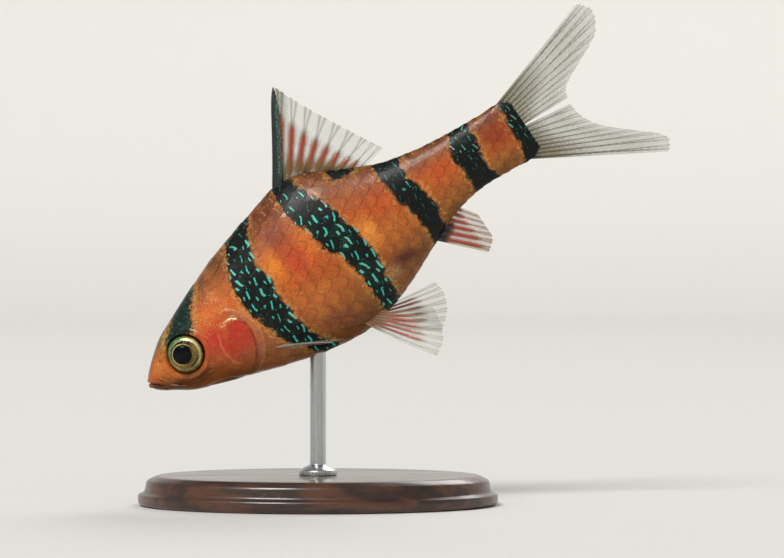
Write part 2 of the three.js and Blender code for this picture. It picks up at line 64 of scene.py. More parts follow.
# The body at a few stations: distance behind the snout, heights of back and belly, half of the width,
# the height where it is widest, and how broad the back is.
STATION_NAMES = ("s", "back", "belly", "half", "waist", "breadth")
STATION_ROWS = [
    (-0.12, 0.05, -0.72, 0.46, -0.3, 2.2),
    (0.06, 0.42, -1.05, 0.86, -0.26, 2.2),
    (0.6, 0.98, -1.52, 1.28, -0.2, 2.2),
    (1.6, 1.86, -2.16, 1.72, -0.1, 2.25),
    (3.2, 3.04, -3.2, 2.24, 0, 2.3),
    (5.3, 4.0, -4.0, 2.76, 0, 2.3),
    (8.0, 5.2, -4.96, 3.26, 0, 2.1),
    (11.5, 6.62, -6.12, 3.64, 0.1, 1.8),
    (15.2, 7.72, -7.2, 3.78, 0.25, 1.65),
    (18.2, 8.5, -7.78, 3.68, 0.3, 1.6),
    (21.2, 9.18, -7.98, 3.4, 0.4, 1.55),
    (24.3, 8.72, -7.42, 3.02, 0.4, 1.55),
    (27.4, 7.06, -6.36, 2.55, 0.4, 1.6),
    (31.0, 5.36, -4.78, 2.04, 0.45, 1.75),
    (34.8, 4.4, -3.2, 1.62, 0.6, 1.85),
    (38.5, 3.92, -2.58, 1.28, 0.65, 1.9),
    (42.0, 3.68, -2.78, 0.96, 0.5, 1.9),
    (44.4, 3.6, -2.96, 0.62, 0.4, 1.9),
    (45.3, 3.1, -2.5, 0.34, 0.3, 1.9),
]
STATIONS = dict(zip(STATION_NAMES, np.array(STATION_ROWS).T))
BODY_START = STATIONS["s"][0]
BODY_END = STATIONS["s"][-1]
# How full the body's sections are above and below their widest line.
BACK_RISE = 2.1
BELLY_RISE = 2.3
BELLY_BREADTH = 2.1

# The middle of an eye, its radius, how far it bulges, and how deep its base is sunk in the head.
EYE = {"s": 4.55, "z": 0.2, "radius": 1.9, "bulge": 1.1, "sunk": 0.46}
# How far the pupil looks forward and up from the middle of the eye.
GLANCE = (-0.18, 0.12)
# The pupil's radius, its bulge and its height over the middle of the eye.
PUPIL = (0.97, 0.34, 0.68)

# Rear edge of the head, from the nape down round the gill cover to the breast.
GILL_EDGE = [(8.2, 8.2), (9.3, 4.4), (11.0, 1.2), (11.95, -1.6), (11.6, -3.9), (9.9, -5.2), (8.6, -7.4)]
# Outlines of the bony gill plate and of the soft skin that fringes it, and lines on the head: the
# cheek's ridge and its rear edge, the mouth, and the folds of cheek and throat.
GILL_PLATE = [
    (8.7, 0.45), (9.9, 0.85), (11.0, 0.35), (11.45, -0.9), (11.3, -2.3), (10.8, -3.4), (10.0, -4.3),
    (8.9, -4.7), (8.0, -4.15), (7.65, -3.0), (7.75, -1.5), (8.1, -0.4),
]
GILL_FRINGE = [
    (8.6, 1.3), (10.2, 1.75), (11.45, 0.75), (12.1, -0.7), (12.2, -2.2), (11.85, -3.4), (11.1, -4.35),
    (9.9, -5.05), (8.3, -5.35), (7.4, -4.6), (7.3, -3.0), (7.5, -0.8),
]
CHEEK_RIDGE = [(8.5, 0.0), (8.05, -1.2), (8.0, -2.4), (8.35, -3.3), (8.75, -3.7)]
CHEEK_EDGE = [(8.3, 0.1), (7.8, -1.4), (7.65, -2.6), (8.0, -3.9), (8.9, -4.65)]
MOUTH = [(-0.6, 0.24), (-0.12, -0.22), (1.2, -1.38)]
CHEEK_FOLD = [(1.3, -1.45), (2.6, -2.15), (4.2, -2.6), (5.9, -2.5)]
THROAT_FOLD = [(4.8, -3.7), (6.6, -4.15), (8.2, -5.0), (9.9, -5.5)]

# Outlines of the six dark bars from head to tail, down the front edge and up the rear one, and of the
# small dark patch at the rear end of the dorsal fin's root.
BARS = [
    [
        (8.6, 7.4), (7.3, 6.0), (6.2, 4.9), (5.3, 4.0), (4.4, 3.1), (3.6, 2.3), (3.2, 1.5), (4.0, 1.4),
        (5.2, 1.7), (6.2, 1.5), (6.9, 2.0), (7.3, 3.0), (8.3, 4.5), (9.2, 5.6), (9.8, 7.4),
    ],
    [
        (16.2, 9.6), (15.5, 8.1), (14.2, 7.3), (13.3, 6.0), (12.6, 4.4), (12.15, 2.5), (12.2, 0.6),
        (12.7, -1.8), (13.5, -4.0), (14.2, -5.3), (15.6, -7.0), (16.6, -8.4), (18.3, -8.4),
        (17.4, -6.9), (16.5, -5.4), (15.9, -3.5), (15.75, -1.6), (15.6, 0.4), (15.75, 1.8), (15.5, 3.9),
        (15.8, 5.4), (16.4, 6.6), (17.3, 8.6),
    ],
    [
        (20.5, 10.4), (20.7, 9.05), (20.5, 6.3), (21.2, 4.2), (21.7, 1.2), (22.7, -0.3), (23.1, -2.7),
        (23.3, -4.5), (23.4, -6.1), (23.6, -8.6), (25.6, -8.6), (25.5, -6.1), (25.6, -4.0),
        (25.9, -1.95), (25.5, 0.9), (25.0, 3.0), (24.1, 5.6), (22.9, 8.5), (22.5, 10.4),
    ],
    [
        (30.4, 6.8), (30.4, 5.2), (30.3, 3.3), (30.8, 0.2), (31.2, -1.8), (31.2, -4.7), (31.4, -6.5),
        (33.6, -6.5), (33.2, -4.2), (33.5, -1.4), (33.3, 0.6), (32.7, 2.9), (33.2, 4.7), (33.6, 6.2),
    ],
    [
        (38.5, 5.4), (38.3, 3.9), (37.5, 1.4), (37.7, -0.3), (37.6, -2.4), (37.8, -4.0), (40.4, -4.0),
        (40.2, -2.0), (40.0, 0.0), (40.6, 1.7), (40.5, 3.0), (40.9, 5.0),
    ],
    [
        (44.3, 5.0), (44.2, 3.6), (44.0, 1.6), (43.9, -0.95), (43.2, -2.8), (43.0, -4.4), (44.4, -4.4),
        (46.2, -3.4), (47.5, -0.7), (47.5, 1.6), (46.6, 3.8), (45.6, 5.0),
    ],
    [(26.3, 7.6), (26.2, 6.6), (27.2, 6.1), (28.6, 6.1), (28.7, 6.9), (28.2, 7.6)],
]

# Soft patches of colour on the skin: colour, place (s, z), reach (s, z) and strength. Some are painted shade
# on the underside and under the eye, and two are painted highlights of gold shimmer.
PATCHES = [
    ("#7a3f24", (18.4, 7.6), (3.2, 1.8), 0.85),
    ("#94492a", (18.6, 5.0), (2.6, 1.6), 0.8),
    ("#cb4a29", (18.9, 1.3), (2.5, 2.4), 0.85),
    # The fish's gold just behind the second bar, brightened into a painted highlight of its shimmer.
    ("#fb9a38", (16.7, 2.2), (0.9, 2.0), 0.95),
    ("#ee8a36", (20.7, 2.6), (0.8, 2.4), 0.7),
    ("#c87434", (18.6, -2.4), (3.0, 2.2), 0.75),
    ("#8a4a22", (19.8, -5.4), (2.6, 1.4), 0.7),
    # Painted shade: the bottom edge of the belly between the second and third bars, darker where the
    # underside lies in shade.
    ("#6a4020", (20.4, -7.4), (3.4, 1.0), 0.8),
    ("#84502f", (26.2, 6.9), (3.4, 1.3), 0.7),
    ("#b36a3a", (27.6, 4.4), (1.8, 1.2), 0.6),
    ("#cc5f2e", (28.6, 1.9), (1.8, 1.3), 0.8),
    # The fish's gold just behind the third bar, brightened into a painted highlight of its shimmer.
    ("#ffa648", (26.5, 0.2), (0.8, 1.5), 0.95),
    ("#ca7a3a", (28.8, -0.9), (1.8, 1.1), 0.75),
    ("#4c1b1e", (28.1, -4.0), (1.8, 0.75), 0.9),
    ("#cfa878", (26.5, -4.6), (0.5, 0.6), 0.6),
    ("#7c4422", (35.4, 3.5), (2.2, 1.0), 0.85),
    ("#d0602c", (35.6, 1.0), (1.6, 1.1), 0.8),
    ("#a86a30", (35.6, -1.7), (2.2, 0.9), 0.75),
    ("#6e351a", (42.2, 3.0), (1.7, 1.0), 0.85),
    ("#93401f", (42.2, 0.9), (1.6, 1.2), 0.85),
    ("#805020", (42.0, -1.8), (1.7, 1.0), 0.75),
    ("#7c4c26", (12.4, 6.4), (3.0, 1.6), 0.8),
    ("#d97f38", (11.0, 2.7), (1.4, 1.6), 0.7),
    ("#e07a3a", (8.4, 2.3), (1.7, 1.3), 0.8),
    ("#a84a2a", (7.2, -2.2), (1.6, 1.3), 0.8),
    ("#cc3c26", (7.9, -0.1), (1.5, 1.4), 0.95),
    ("#b97a52", (11.8, -5.2), (2.6, 1.3), 0.6),
    # Painted shade on the throat, under the head.
    ("#62381c", (7.4, -4.9), (2.6, 0.9), 0.85),
    ("#cc7c2c", (1.9, 0.5), (1.3, 1.2), 0.85),
    ("#7a7238", (3.6, 2.6), (1.5, 0.8), 0.8),
    ("#a3602c", (5.8, -3.2), (1.6, 0.7), 0.5),
    # Painted shade: a dark line under the orbit, along the cheek's fold.
    ("#4c2f16", (4.5, -2.6), (1.6, 0.4), 0.85),
    # Painted shade on the chin and under the lower jaw.
    ("#3c2712", (0.2, -0.9), (0.9, 0.6), 0.9),
    ("#4a3016", (1.6, -2.1), (2.0, 0.7), 0.85),
]
# How lively the bright streaks of the bars are, at distances s.
LIVELY = [
    (12, 0.9), (15, 0.95), (20, 0.95), (24, 1.0), (27, 0.8), (31, 0.55), (38, 0.5), (43, 0.58),
    (46, 0.5),
]
# Where pale, metallic flecks gather: place (s, z), reach (s, z) and density.
FLECKS = [
    ((10.0, 0.6), (1.4, 0.3), 1.0),
    ((10.7, 0.3), (0.5, 0.25), 1.0),
    ((11.3, -0.15), (0.3, 0.35), 0.9),
    ((9.3, 0.35), (0.5, 0.25), 1.05),
    ((11.2, 0.0), (0.5, 0.8), 0.55),
    ((8.2, 1.6), (1.6, 1.0), 0.56),
    ((9.6, 3.6), (1.8, 2.4), 0.56),
    ((7.4, 0.5), (1.0, 0.8), 0.46),
    ((9.8, -1.6), (1.4, 1.2), 0.3),
    ((3.6, 2.3), (1.2, 0.6), 0.5),
    ((2.0, 0.9), (1.5, 1.3), 0.46),
]

BODY = "root"


# Numbers and curves.


def ease(value, low, high):
    """Smooth step from 0 at low to 1 at high."""
    t = np.clip((value - low) / (high - low), 0, 1)
    return t * t * (3 - 2 * t)


def bell(value, width):
    """Bump of height 1 at 0."""
    return np.exp(-((value / width) ** 2))


def patch(s, z, place, reach):
    """Soft round patch: 1 at its place, fading over its reach."""
    return np.exp(-(((s - place[0]) / reach[0]) ** 2) - ((z - place[1]) / reach[1]) ** 2)


def tone(code):
    """Linear colour of a #rrggbb code."""
    parts = [int(code[i : i + 2], 16) / 255 for i in (1, 3, 5)]
    return np.array([c / 12.92 if c < 0.04045 else ((c + 0.055) / 1.055) ** 2.4 for c in parts])


def laid(paint, colour, share):
    """Paint with a colour laid over it, as far as the share says at each point."""
    over = tone(colour) if isinstance(colour, str) else colour
    return paint + (over - paint) * share[:, None]


def on_line(points, part, closed=False):
    """Points of a smooth line through some points, at parts 0 to 1 of its way."""
    points = np.array(points, float)
    if closed:
        knots = np.vstack([points[-1:], points, points[:2]])
    else:
        knots = np.vstack([2 * points[:1] - points[1:2], points, 2 * points[-1:] - points[-2:-1]])
    spans = len(knots) - 3
    at = np.clip(part, 0, 1) * spans
    i = np.minimum(at.astype(int), spans - 1)
    t = (at - i)[:, None]
    a, b, c, d = (knots[i + k] for k in range(4))
    return 0.5 * (2 * b + (c - a) * t + (2 * a - 5 * b + 4 * c - d) * t**2 + (3 * b - a - 3 * c + d) * t**3)


def off_line(line, s, z):
    """Distance of points from a line of straight stretches."""
    nearest = np.full(len(s), np.inf)
    for (s0, z0), (s1, z1) in zip(line[:-1], line[1:]):
        ds, dz = s1 - s0, z1 - z0
        t = np.clip(((s - s0) * ds + (z - z0) * dz) / (ds * ds + dz * dz + 1e-12), 0, 1)
        nearest = np.minimum(nearest, np.hypot(s - s0 - t * ds, z - z0 - t * dz))
    return nearest


def inside(outline, s, z, steps=5):
    """How deep points lie inside a rounded outline; minus outside it."""
    count = len(outline) * steps
    ring = on_line(outline, np.arange(count + 1) / count, closed=True)
    odd = np.zeros(len(s), bool)
    for (s0, z0), (s1, z1) in zip(ring[:-1], ring[1:]):
        crosses = (z0 > z) != (z1 > z)
        odd ^= crosses & (s < (s1 - s0) * (z - z0) / (z1 - z0 + 1e-12) + s0)
    return np.where(odd, 1, -1) * off_line(ring, s, z)


# The body's shape.


def station(name, s):
    """A column of the body's stations at distances s, smoothly between them."""
    x, y = STATIONS["s"], STATIONS[name]
    slope = np.gradient(y)
    slope[1:-1] = (y[2:] - y[:-2]) / (x[2:] - x[:-2])
    slope[[0, -1]] = (y[1] - y[0]) / (x[1] - x[0]), (y[-1] - y[-2]) / (x[-1] - x[-2])
    i = np.clip(np.searchsorted(x, s, side="right") - 1, 0, len(x) - 2)
    span = x[i + 1] - x[i]
    t = np.clip((s - x[i]) / span, 0, 1)
    ends = y[i] * (2 * t**3 - 3 * t**2 + 1) + y[i + 1] * (3 * t**2 - 2 * t**3)
    return ends + slope[i] * span * (t**3 - 2 * t**2 + t) + slope[i + 1] * span * (t**3 - t**2)


def section(s, angle):
    """Points of the bare body: angle 0 is the right flank and a quarter turn the back."""
    cosine, sine = np.cos(angle), np.sin(angle)
    up = sine > 0
    breadth = np.where(up, station("breadth", s), BELLY_BREADTH)
    rise = np.where(up, BACK_RISE, BELLY_RISE)
    edge = np.where(up, station("back", s), station("belly", s))
    waist = station("waist", s)
    y = np.sign(cosine) * station("half", s) * np.abs(cosine) ** (2 / breadth)
    z = waist + (edge - waist) * np.abs(sine) ** (2 / rise)
    return np.stack([s, y, z], -1)


def half_width(s, z):
    """Half of the body's width at distance s and height z."""
    s, z = np.asarray(s, float), np.asarray(z, float)
    waist = station("waist", s)
    up = z > waist
    edge = np.where(up, station("back", s), station("belly", s))
    part = np.minimum(np.abs((z - waist) / (edge - waist)), 1)
    fullness = 1 - part ** np.where(up, BACK_RISE, BELLY_RISE)
    return station("half", s) * fullness ** (1 / np.where(up, station("breadth", s), BELLY_BREADTH))


def facing(s, z, side):
    """Point of one flank and the way that the skin faces there."""
    step = 0.05
    y = half_width(s, z)
    along = (half_width(s + step, z) - half_width(s - step, z)) / (2 * step)
    up = (half_width(s, z + step) - half_width(s, z - step)) / (2 * step)
    return Vector((s, side * y, z)), Vector((-along, side, -up)).normalized()


def on_skin(s, run, side):
    """Points of the flank at lengths run up (or down, minus) round the body from its widest line."""
    steps = 40
    turn = np.linspace(0, math.pi / 2, steps + 1)[None, :]
    angle = np.where(run[:, None] >= 0, turn, -turn)
    rib = section(np.repeat(s[:, None], steps + 1, 1), angle)[:, :, 1:]
    pieces = np.hypot(*np.moveaxis(np.diff(rib, axis=1), 2, 0))
    length = np.concatenate([np.zeros((len(s), 1)), np.cumsum(pieces, 1)], 1)
    whole = length[:, -1]
    over = np.abs(run) > whole
    reach = np.clip(np.where(over, 2 * whole - np.abs(run), np.abs(run)), 0, whole - 1e-6)
    i = np.clip((length <= reach[:, None]).sum(1) - 1, 0, steps - 1)
    row = np.arange(len(s))
    t = ((reach - length[row, i]) / (length[row, i + 1] - length[row, i] + 1e-9))[:, None]
    spot = rib[row, i] * (1 - t) + rib[row, i + 1] * t
    return np.stack([s, np.where(over, -side, side) * spot[:, 0], spot[:, 1]], -1), whole


# Markings, shared by the skin and the scales.


def gill_edge(z):
    """Where the head ends at height z."""
    line = np.array(GILL_EDGE[::-1])
    return np.interp(z, line[:, 1], line[:, 0])


def bar_depth(s, z):
    """How deep points lie inside the nearest dark bar; minus between the bars."""
    return np.clip(np.max([inside(bar, s, z) for bar in BARS], axis=0), -2, 2)


def height_share(s, z):
    """How high points lie between belly (0) and back (1)."""
    back, belly = station("back", s), station("belly", s)
    return np.clip((z - belly) / (back - belly), 0, 1)


def flesh(s, z, colours):
    """Colour of the skin between the bars, including painted shade on the underside and painted gold
    highlights.
    """
    height = height_share(s, z)
    # From belly to ridge; the belly's tan is darkened with painted shade, as the underside lies in shade.
    stops = [0, 0.12, 0.34, 0.62, 0.84, 1]
    ladder = (colours.belly, colours.belly, colours.flank_low, colours.flank, colours.back, colours.ridge)
    tones = np.array(ladder)
    paint = np.stack([np.interp(height, stops, tones[:, k]) for k in range(3)], -1)
    for code, place, reach, strength in PATCHES:
        paint = laid(paint, code, strength * patch(s, z, place, reach))
    plate, fringe = inside(GILL_PLATE, s, z), inside(GILL_FRINGE, s, z)
    red = laid(laid(tone("#c23020"), "#a8643a", ease(-z, 1.6, 4.2)), "#cb7c40", ease(z, 0.0, 0.8))
    paint = laid(paint, "#b8704a", 0.7 * ease(fringe, -0.05, 0.25) * ease(s, 9.5, 11))
    softness = 0.1 + 0.6 * ease(-s, -9.8, -8.4)
    paint = laid(paint, red, 0.85 * ease(plate / softness, -0.9, 1.3))
    paint = laid(paint, "#6e1f16", 0.6 * bell(plate - 0.05, 0.09) * ease(s, 9.6, 10.6))
    paint = laid(paint, "#d9a27c", 0.6 * bell(fringe - 0.06, 0.08) * ease(s, 9.6, 10.8))
    return laid(paint, "#d98a66", 0.55 * bell(off_line(CHEEK_RIDGE, s, z), 0.1))


def fleck_share(s, z):
    """How thickly pale metallic flecks lie."""
    height = height_share(s, z)
    share = 0.12 + 0.26 * ease(height, 0.6, 1.0)
    for place, reach, strength in FLECKS:
        share = np.maximum(share, strength * patch(s, z, place, reach))
    return share


def lively_share(s, z):
    """How many of a bar's scales carry a bright streak: few high on the back, or low on the tail stem."""
    distances, shares = zip(*LIVELY)
    low = ease(-z, -0.2, 2.2) * ease(s, 28, 31)
    high = ease(z, 3.4, 6.2) * (0.25 + 0.2 * ease(s, 17, 20))
    return np.interp(s, distances, shares) - 0.5 * low - high


# Meshes and pieces.


def sheet(columns, rows, place, weld=1e-4):
    """A grid of quads laid by place(u, v), which each point keeps; edges that meet are welded."""
    bm = bmesh.new()
    bmesh.ops.create_grid(bm, x_segments=columns, y_segments=rows, size=0.5)
    grid = bm.verts.layers.float_vector.new("grid")
    flat = np.array([v.co for v in bm.verts]) + 0.5
    for vert, uv, spot in zip(bm.verts, flat, place(flat[:, 0], flat[:, 1])):
        vert[grid] = uv
        vert.co = spot
    bmesh.ops.remove_doubles(bm, verts=bm.verts, dist=weld)
    bmesh.ops.dissolve_degenerate(bm, edges=bm.edges, dist=weld / 10)
    return bm


def as_mesh(name, bm):
    """A finished bmesh as a mesh."""
    mesh = bpy.data.meshes.new(name)
    bm.to_mesh(mesh)
    bm.free()
    return mesh


def smooth_object(name, bm, material):
    """A finished bmesh as an object of the scene, shaded smoothly."""
    mesh = as_mesh(name, bm)
    mesh.polygons.foreach_set("use_smooth", [True] * len(mesh.polygons))
    mesh.materials.append(material)
    made = bpy.data.objects.new(name, mesh)
    bpy.context.scene.collection.objects.link(made)
    return made


def finish_piece(name, bm, material, nodes=(), into=FISH):
    """Makes the object of a finished bmesh, riding on the body, in place of some CAD nodes."""
    bmesh.ops.recalc_face_normals(bm, faces=bm.faces)
    bm.transform(into)
    piece = smooth_object(name, bm, material)
    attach(piece, BODY)
    if nodes:
        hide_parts(*nodes)
    return piece


def gathered(data, key):
    """The place, or another threefold value, of each of some points."""
    flat = np.empty(len(data) * 3)
    data.foreach_get(key, flat)
    return flat.reshape(-1, 3)


def fish_points(mesh):
    """A mesh's points in the fish's frame."""
    back = np.array(FISH.inverted())
    return gathered(mesh.vertices, "co") @ back[:3, :3].T + back[:3, 3]


def grid_of(mesh):
    """The u and v that each point of a sheet was laid at."""
    return gathered(mesh.attributes["grid"].data, "vector")[:, :2].T


def put(mesh, name, values):
    """Stores a number or a colour at each point of a mesh."""
    if values.ndim == 1:
        mesh.attributes.new(name, "FLOAT", "POINT").data.foreach_set("value", values)
        return
    whole = np.concatenate([values, np.ones((len(values), 1))], 1)
    mesh.attributes.new(name, "FLOAT_COLOR", "POINT").data.foreach_set("color", whole.ravel())


def put_uv(mesh, name, places):
    """Stores a UV map, given by the place of each point."""
    corners = np.empty(len(mesh.loops), int)
    mesh.loops.foreach_get("vertex_index", corners)
    mesh.uv_layers.new(name=name).data.foreach_set("uv", places[corners].ravel())


# Materials.


class Brush:
    """A new material whose nodes are made one call at a time; each call gives an output."""

    def __init__(self, name):
        self.material = bpy.data.materials.new(name)
        self.material.use_nodes = True
        self.tree = self.material.node_tree
        self.shader = self.tree.nodes["Principled BSDF"]

    def node(self, kind, inputs=(), output=0, **settings):
        """A new node, its inputs fed and its settings set; gives one of its outputs."""
        made = self.tree.nodes.new(kind)
        for key, value in settings.items():
            setattr(made, key, value)
        for key, value in dict(inputs).items():
            self.feed(made.inputs[key], value)
        return made.outputs[output]

    def feed(self, socket, value):
        """Links another node's output to a socket, or sets the socket's own value."""
        if isinstance(value, bpy.types.NodeSocket):
            self.tree.links.new(value, socket)
        else:
            socket.default_value = value

    def set(self, **inputs):
        """Sets the surface shader: Base_Color=..., Roughness=... and so on."""
        for key, value in inputs.items():
            self.feed(self.shader.inputs[key.replace("_", " ")], value)

    def fish(self):
        """The fish's own frame, in millimetres."""
        spot = self.node("ShaderNodeTexCoord", output="Object")
        settings = {"Vector": spot, "Location": SNOUT, "Rotation": (0, -NOSE_DOWN, 0), "Scale": (MM, MM, MM)}
        return self.node("ShaderNodeMapping", settings, vector_type="TEXTURE")

    def stretched(self, vector, scale):
        return self.node("ShaderNodeMapping", {"Vector": vector, "Scale": scale})

    def stored(self, name, output="Fac"):
        """A number or colour that is stored at each point of the mesh."""
        return self.node("ShaderNodeAttribute", output=output, attribute_name=name)

    def math(self, operation, a, b=0.0, clamp=False):
        return self.node("ShaderNodeMath", {0: a, 1: b}, operation=operation, use_clamp=clamp)

    def times(self, a, b, clamp=False):
        return self.math("MULTIPLY", a, b, clamp)

    def plus(self, a, b):
        return self.math("ADD", a, b)

    def minus(self, a, b):
        return self.math("SUBTRACT", a, b)

    def most(self, a, b, clamp=False):
        return self.math("MAXIMUM", a, b, clamp)

    def wave(self, a):
        return self.math("SINE", a)

    def apart(self, a, b):
        """How far apart two values are."""
        return self.math("ABSOLUTE", self.minus(a, b))

    def vector(self, operation, a, *others, output=0):
        return self.node("ShaderNodeVectorMath", dict(enumerate((a, *others))), output, operation=operation)

    def range(self, value, low, high, to_low=0.0, to_high=1.0):
        """A smooth step of a value that runs from low to high."""
        inputs = {"Value": value, "From Min": low, "From Max": high, "To Min": to_low, "To Max": to_high}
        return self.node("ShaderNodeMapRange", inputs, interpolation_type="SMOOTHSTEP")

    def noise(self, vector, scale, detail=2.0, roughness=0.5):
        inputs = {"Vector": vector, "Scale": scale, "Detail": detail, "Roughness": roughness}
        return self.node("ShaderNodeTexNoise", inputs)

    def cells(self, vector, scale):
        """Distance from the nearest of many scattered points."""
        return self.node("ShaderNodeTexVoronoi", {"Vector": vector, "Scale": scale})

    def mix(self, share, a, b, blend="MIX"):
        """One colour turned into another, as far as the share says."""
        inputs = {0: share, 6: self.colour(a), 7: self.colour(b)}
        return self.node("ShaderNodeMix", inputs, output=2, data_type="RGBA", blend_type=blend)

    def shade(self, share, tint, factor):
        """A colour multiplied by another, as far as the share says."""
        return self.mix(share, tint, (*factor, 1), "MULTIPLY")

    def colour(self, value):
        """A #rrggbb code or three numbers as a colour; an output stays as it is."""
        if isinstance(value, str):
            return (*tone(value), 1)
        return value if isinstance(value, bpy.types.NodeSocket) or len(value) == 4 else (*value, 1)

    def bump(self, height, strength, distance):
        inputs = {"Height": height, "Strength": strength, "Distance": distance}
        self.set(Normal=self.node("ShaderNodeBump", inputs))


def mottled(brush, spot, grain):
    """Flesh: the stored colour, clouded, stippled with dark dots and roughened by pale granules."""
    tint = brush.shade(brush.range(grain, 0.3, 0.75), brush.stored("paint", "Color"), (0.66, 0.5, 0.4))
    tint = brush.mix(brush.range(brush.noise(spot, 0.8, 3), 0.45, 0.75, 0, 0.25), tint, "#d98a3c")
    dots = brush.range(brush.cells(spot, 4.6), 0.1, 0.24, 1, 0)
    dots = brush.times(dots, brush.range(brush.noise(spot, 1.4, 2), 0.42, 0.6, 0, 0.4))
    tint = brush.shade(dots, tint, (0.4, 0.16, 0.09))
    granules = brush.range(brush.cells(brush.stretched(spot, (1, 1, 1.3)), 3.4), 0.12, 0.4, 1, 0)
    granules = brush.times(granules, brush.range(grain, 0.38, 0.6, 0, 0.6))
    return brush.shade(granules, tint, (2.2, 1.8, 1.2))


def flecks_of(brush, spot, fine):
    """Small pale flecks, thicker where the stored share is higher."""
    stored = brush.stored("fleck")
    speck = brush.range(brush.cells(spot, 5.2), 0.12, 0.3, 1, 0)
    scattered = brush.times(speck, brush.range(brush.minus(stored, fine), -0.2, 0.1))
    return brush.most(scattered, brush.range(brush.minus(stored, brush.noise(spot, 4.5, 2)), 0.34, 0.46))


def wet(brush, colour, shine, coat, grain, relief, strength):
    """The finish that skin and scales share: moist, a little translucent, finely grained."""
    brush.set(
        Base_Color=colour,
        Metallic=brush.times(shine, 0.5),
        Roughness=brush.range(grain, 0.3, 0.7, 0.36, 0.52),
        Specular_IOR_Level=0.2,
        Coat_Weight=coat,
        Coat_Roughness=0.14,
        Subsurface_Weight=0.12,
        Subsurface_Radius=(0.0012, 0.0005, 0.0003),
        Subsurface_Scale=1.0,
    )
    brush.bump(relief, strength, 0.00005)


def skin_material():
    """Skin of the head, and what shows between the scales."""
    colours = bpy.context.scene.barb_colours
    brush = Brush("barb_skin")
    spot = brush.fish()
    grain = brush.noise(spot, 7.0, 3, 0.6)
    fine = brush.noise(spot, 2.6, 3, 0.65)
    blotch = brush.noise(spot, 3.4, 4, 0.75)
    tint = mottled(brush, spot, grain)
    tint = brush.shade(brush.range(blotch, 0.5, 0.62, 0, 0.7), tint, (1.12, 0.62, 0.6))
    tint = brush.shade(brush.range(blotch, 0.36, 0.47, 0.75, 0), tint, (1.12, 1.32, 1.15))
    fleck = flecks_of(brush, spot, fine)
    tint = brush.mix(fleck, tint, colours.fleck)
    depth = brush.plus(brush.stored("bar"), brush.range(fine, 0.3, 0.7, -0.3, 0.3))
    margin = brush.times(brush.range(depth, -0.6, -0.25), brush.range(blotch, 0.42, 0.6, 0.1, 0.6))
    tint = brush.mix(margin, tint, colours.margin)
    dark = brush.range(depth, -0.25, 0.3)
    # The bars: black, greener on the head, with small gleaming points.
    gleam = brush.range(brush.cells(spot, 5.5), 0.1, 0.34, 1, 0)
    gleam = brush.times(gleam, brush.range(brush.noise(spot, 1.9, 2), 0.42, 0.58))
    gleam = brush.times(gleam, brush.range(brush.noise(spot, 4.0, 1), 0.4, 0.6, 0.3, 1))
    way_back = brush.node("ShaderNodeSeparateXYZ", {0: spot})
    green = brush.times(brush.range(fine, 0.35, 0.7), brush.range(way_back, 9.5, 11.5, 1, 0.1))
    point = brush.mix(brush.range(grain, 0.4, 0.6), "#3f9c72", colours.gleam)
    bar_tint = brush.mix(gleam, brush.mix(green, colours.bar, "#16352c"), point)
    shine = brush.most(fleck, brush.times(gleam, dark))
    relief = brush.plus(grain, brush.times(fine, 0.6))
    coat = brush.range(dark, 0, 1, 0.25, 0.08)
    wet(brush, brush.mix(dark, tint, bar_tint), shine, coat, grain, relief, 0.4)
    return brush.material


def dashes(brush, spot, across, middle, level, chance):
    """Two dashes across each scale, near its rear edge and before it, straight but for a slight sway."""
    wavy = brush.plus(level, brush.range(brush.noise(spot, 0.6, 1), 0.3, 0.7, -0.07, 0.07))
    aside = brush.apart(across, brush.range(chance, 0, 1, 0.66, 0.34))
    rear = brush.range(brush.apart(wavy, 0.73), 0.01, 0.08, 1, 0)
    front = brush.range(brush.apart(wavy, 0.5), 0.01, 0.07, 0.92, 0)
    rear = brush.times(rear, brush.range(middle, 0.22, 0.42, 1, 0))
    return brush.most(rear, brush.times(front, brush.range(aside, 0.06, 0.2, 1, 0)))


def scale_flesh(brush, spot, grain, along, level, chance):
    """Flesh colour of the scales: some darker, and each with a pale band before its brown rim."""
    tint = mottled(brush, spot, grain)
    tint = brush.shade(brush.range(chance, 0.45, 1, 0, 0.4), tint, (0.78, 0.62, 0.52))
    pale = brush.times(brush.range(level, 0.45, 0.75), brush.range(along, 0.84, 0.95, 1, 0))
    pale = brush.times(pale, brush.range(brush.noise(spot, 5.0, 3, 0.7), 0.38, 0.62, 0, 0.55))
    tint = brush.shade(pale, tint, (1.5, 1.3, 1.15))
    return brush.shade(brush.range(along, 0.9, 0.99, 0, 0.3), tint, (0.5, 0.25, 0.14))


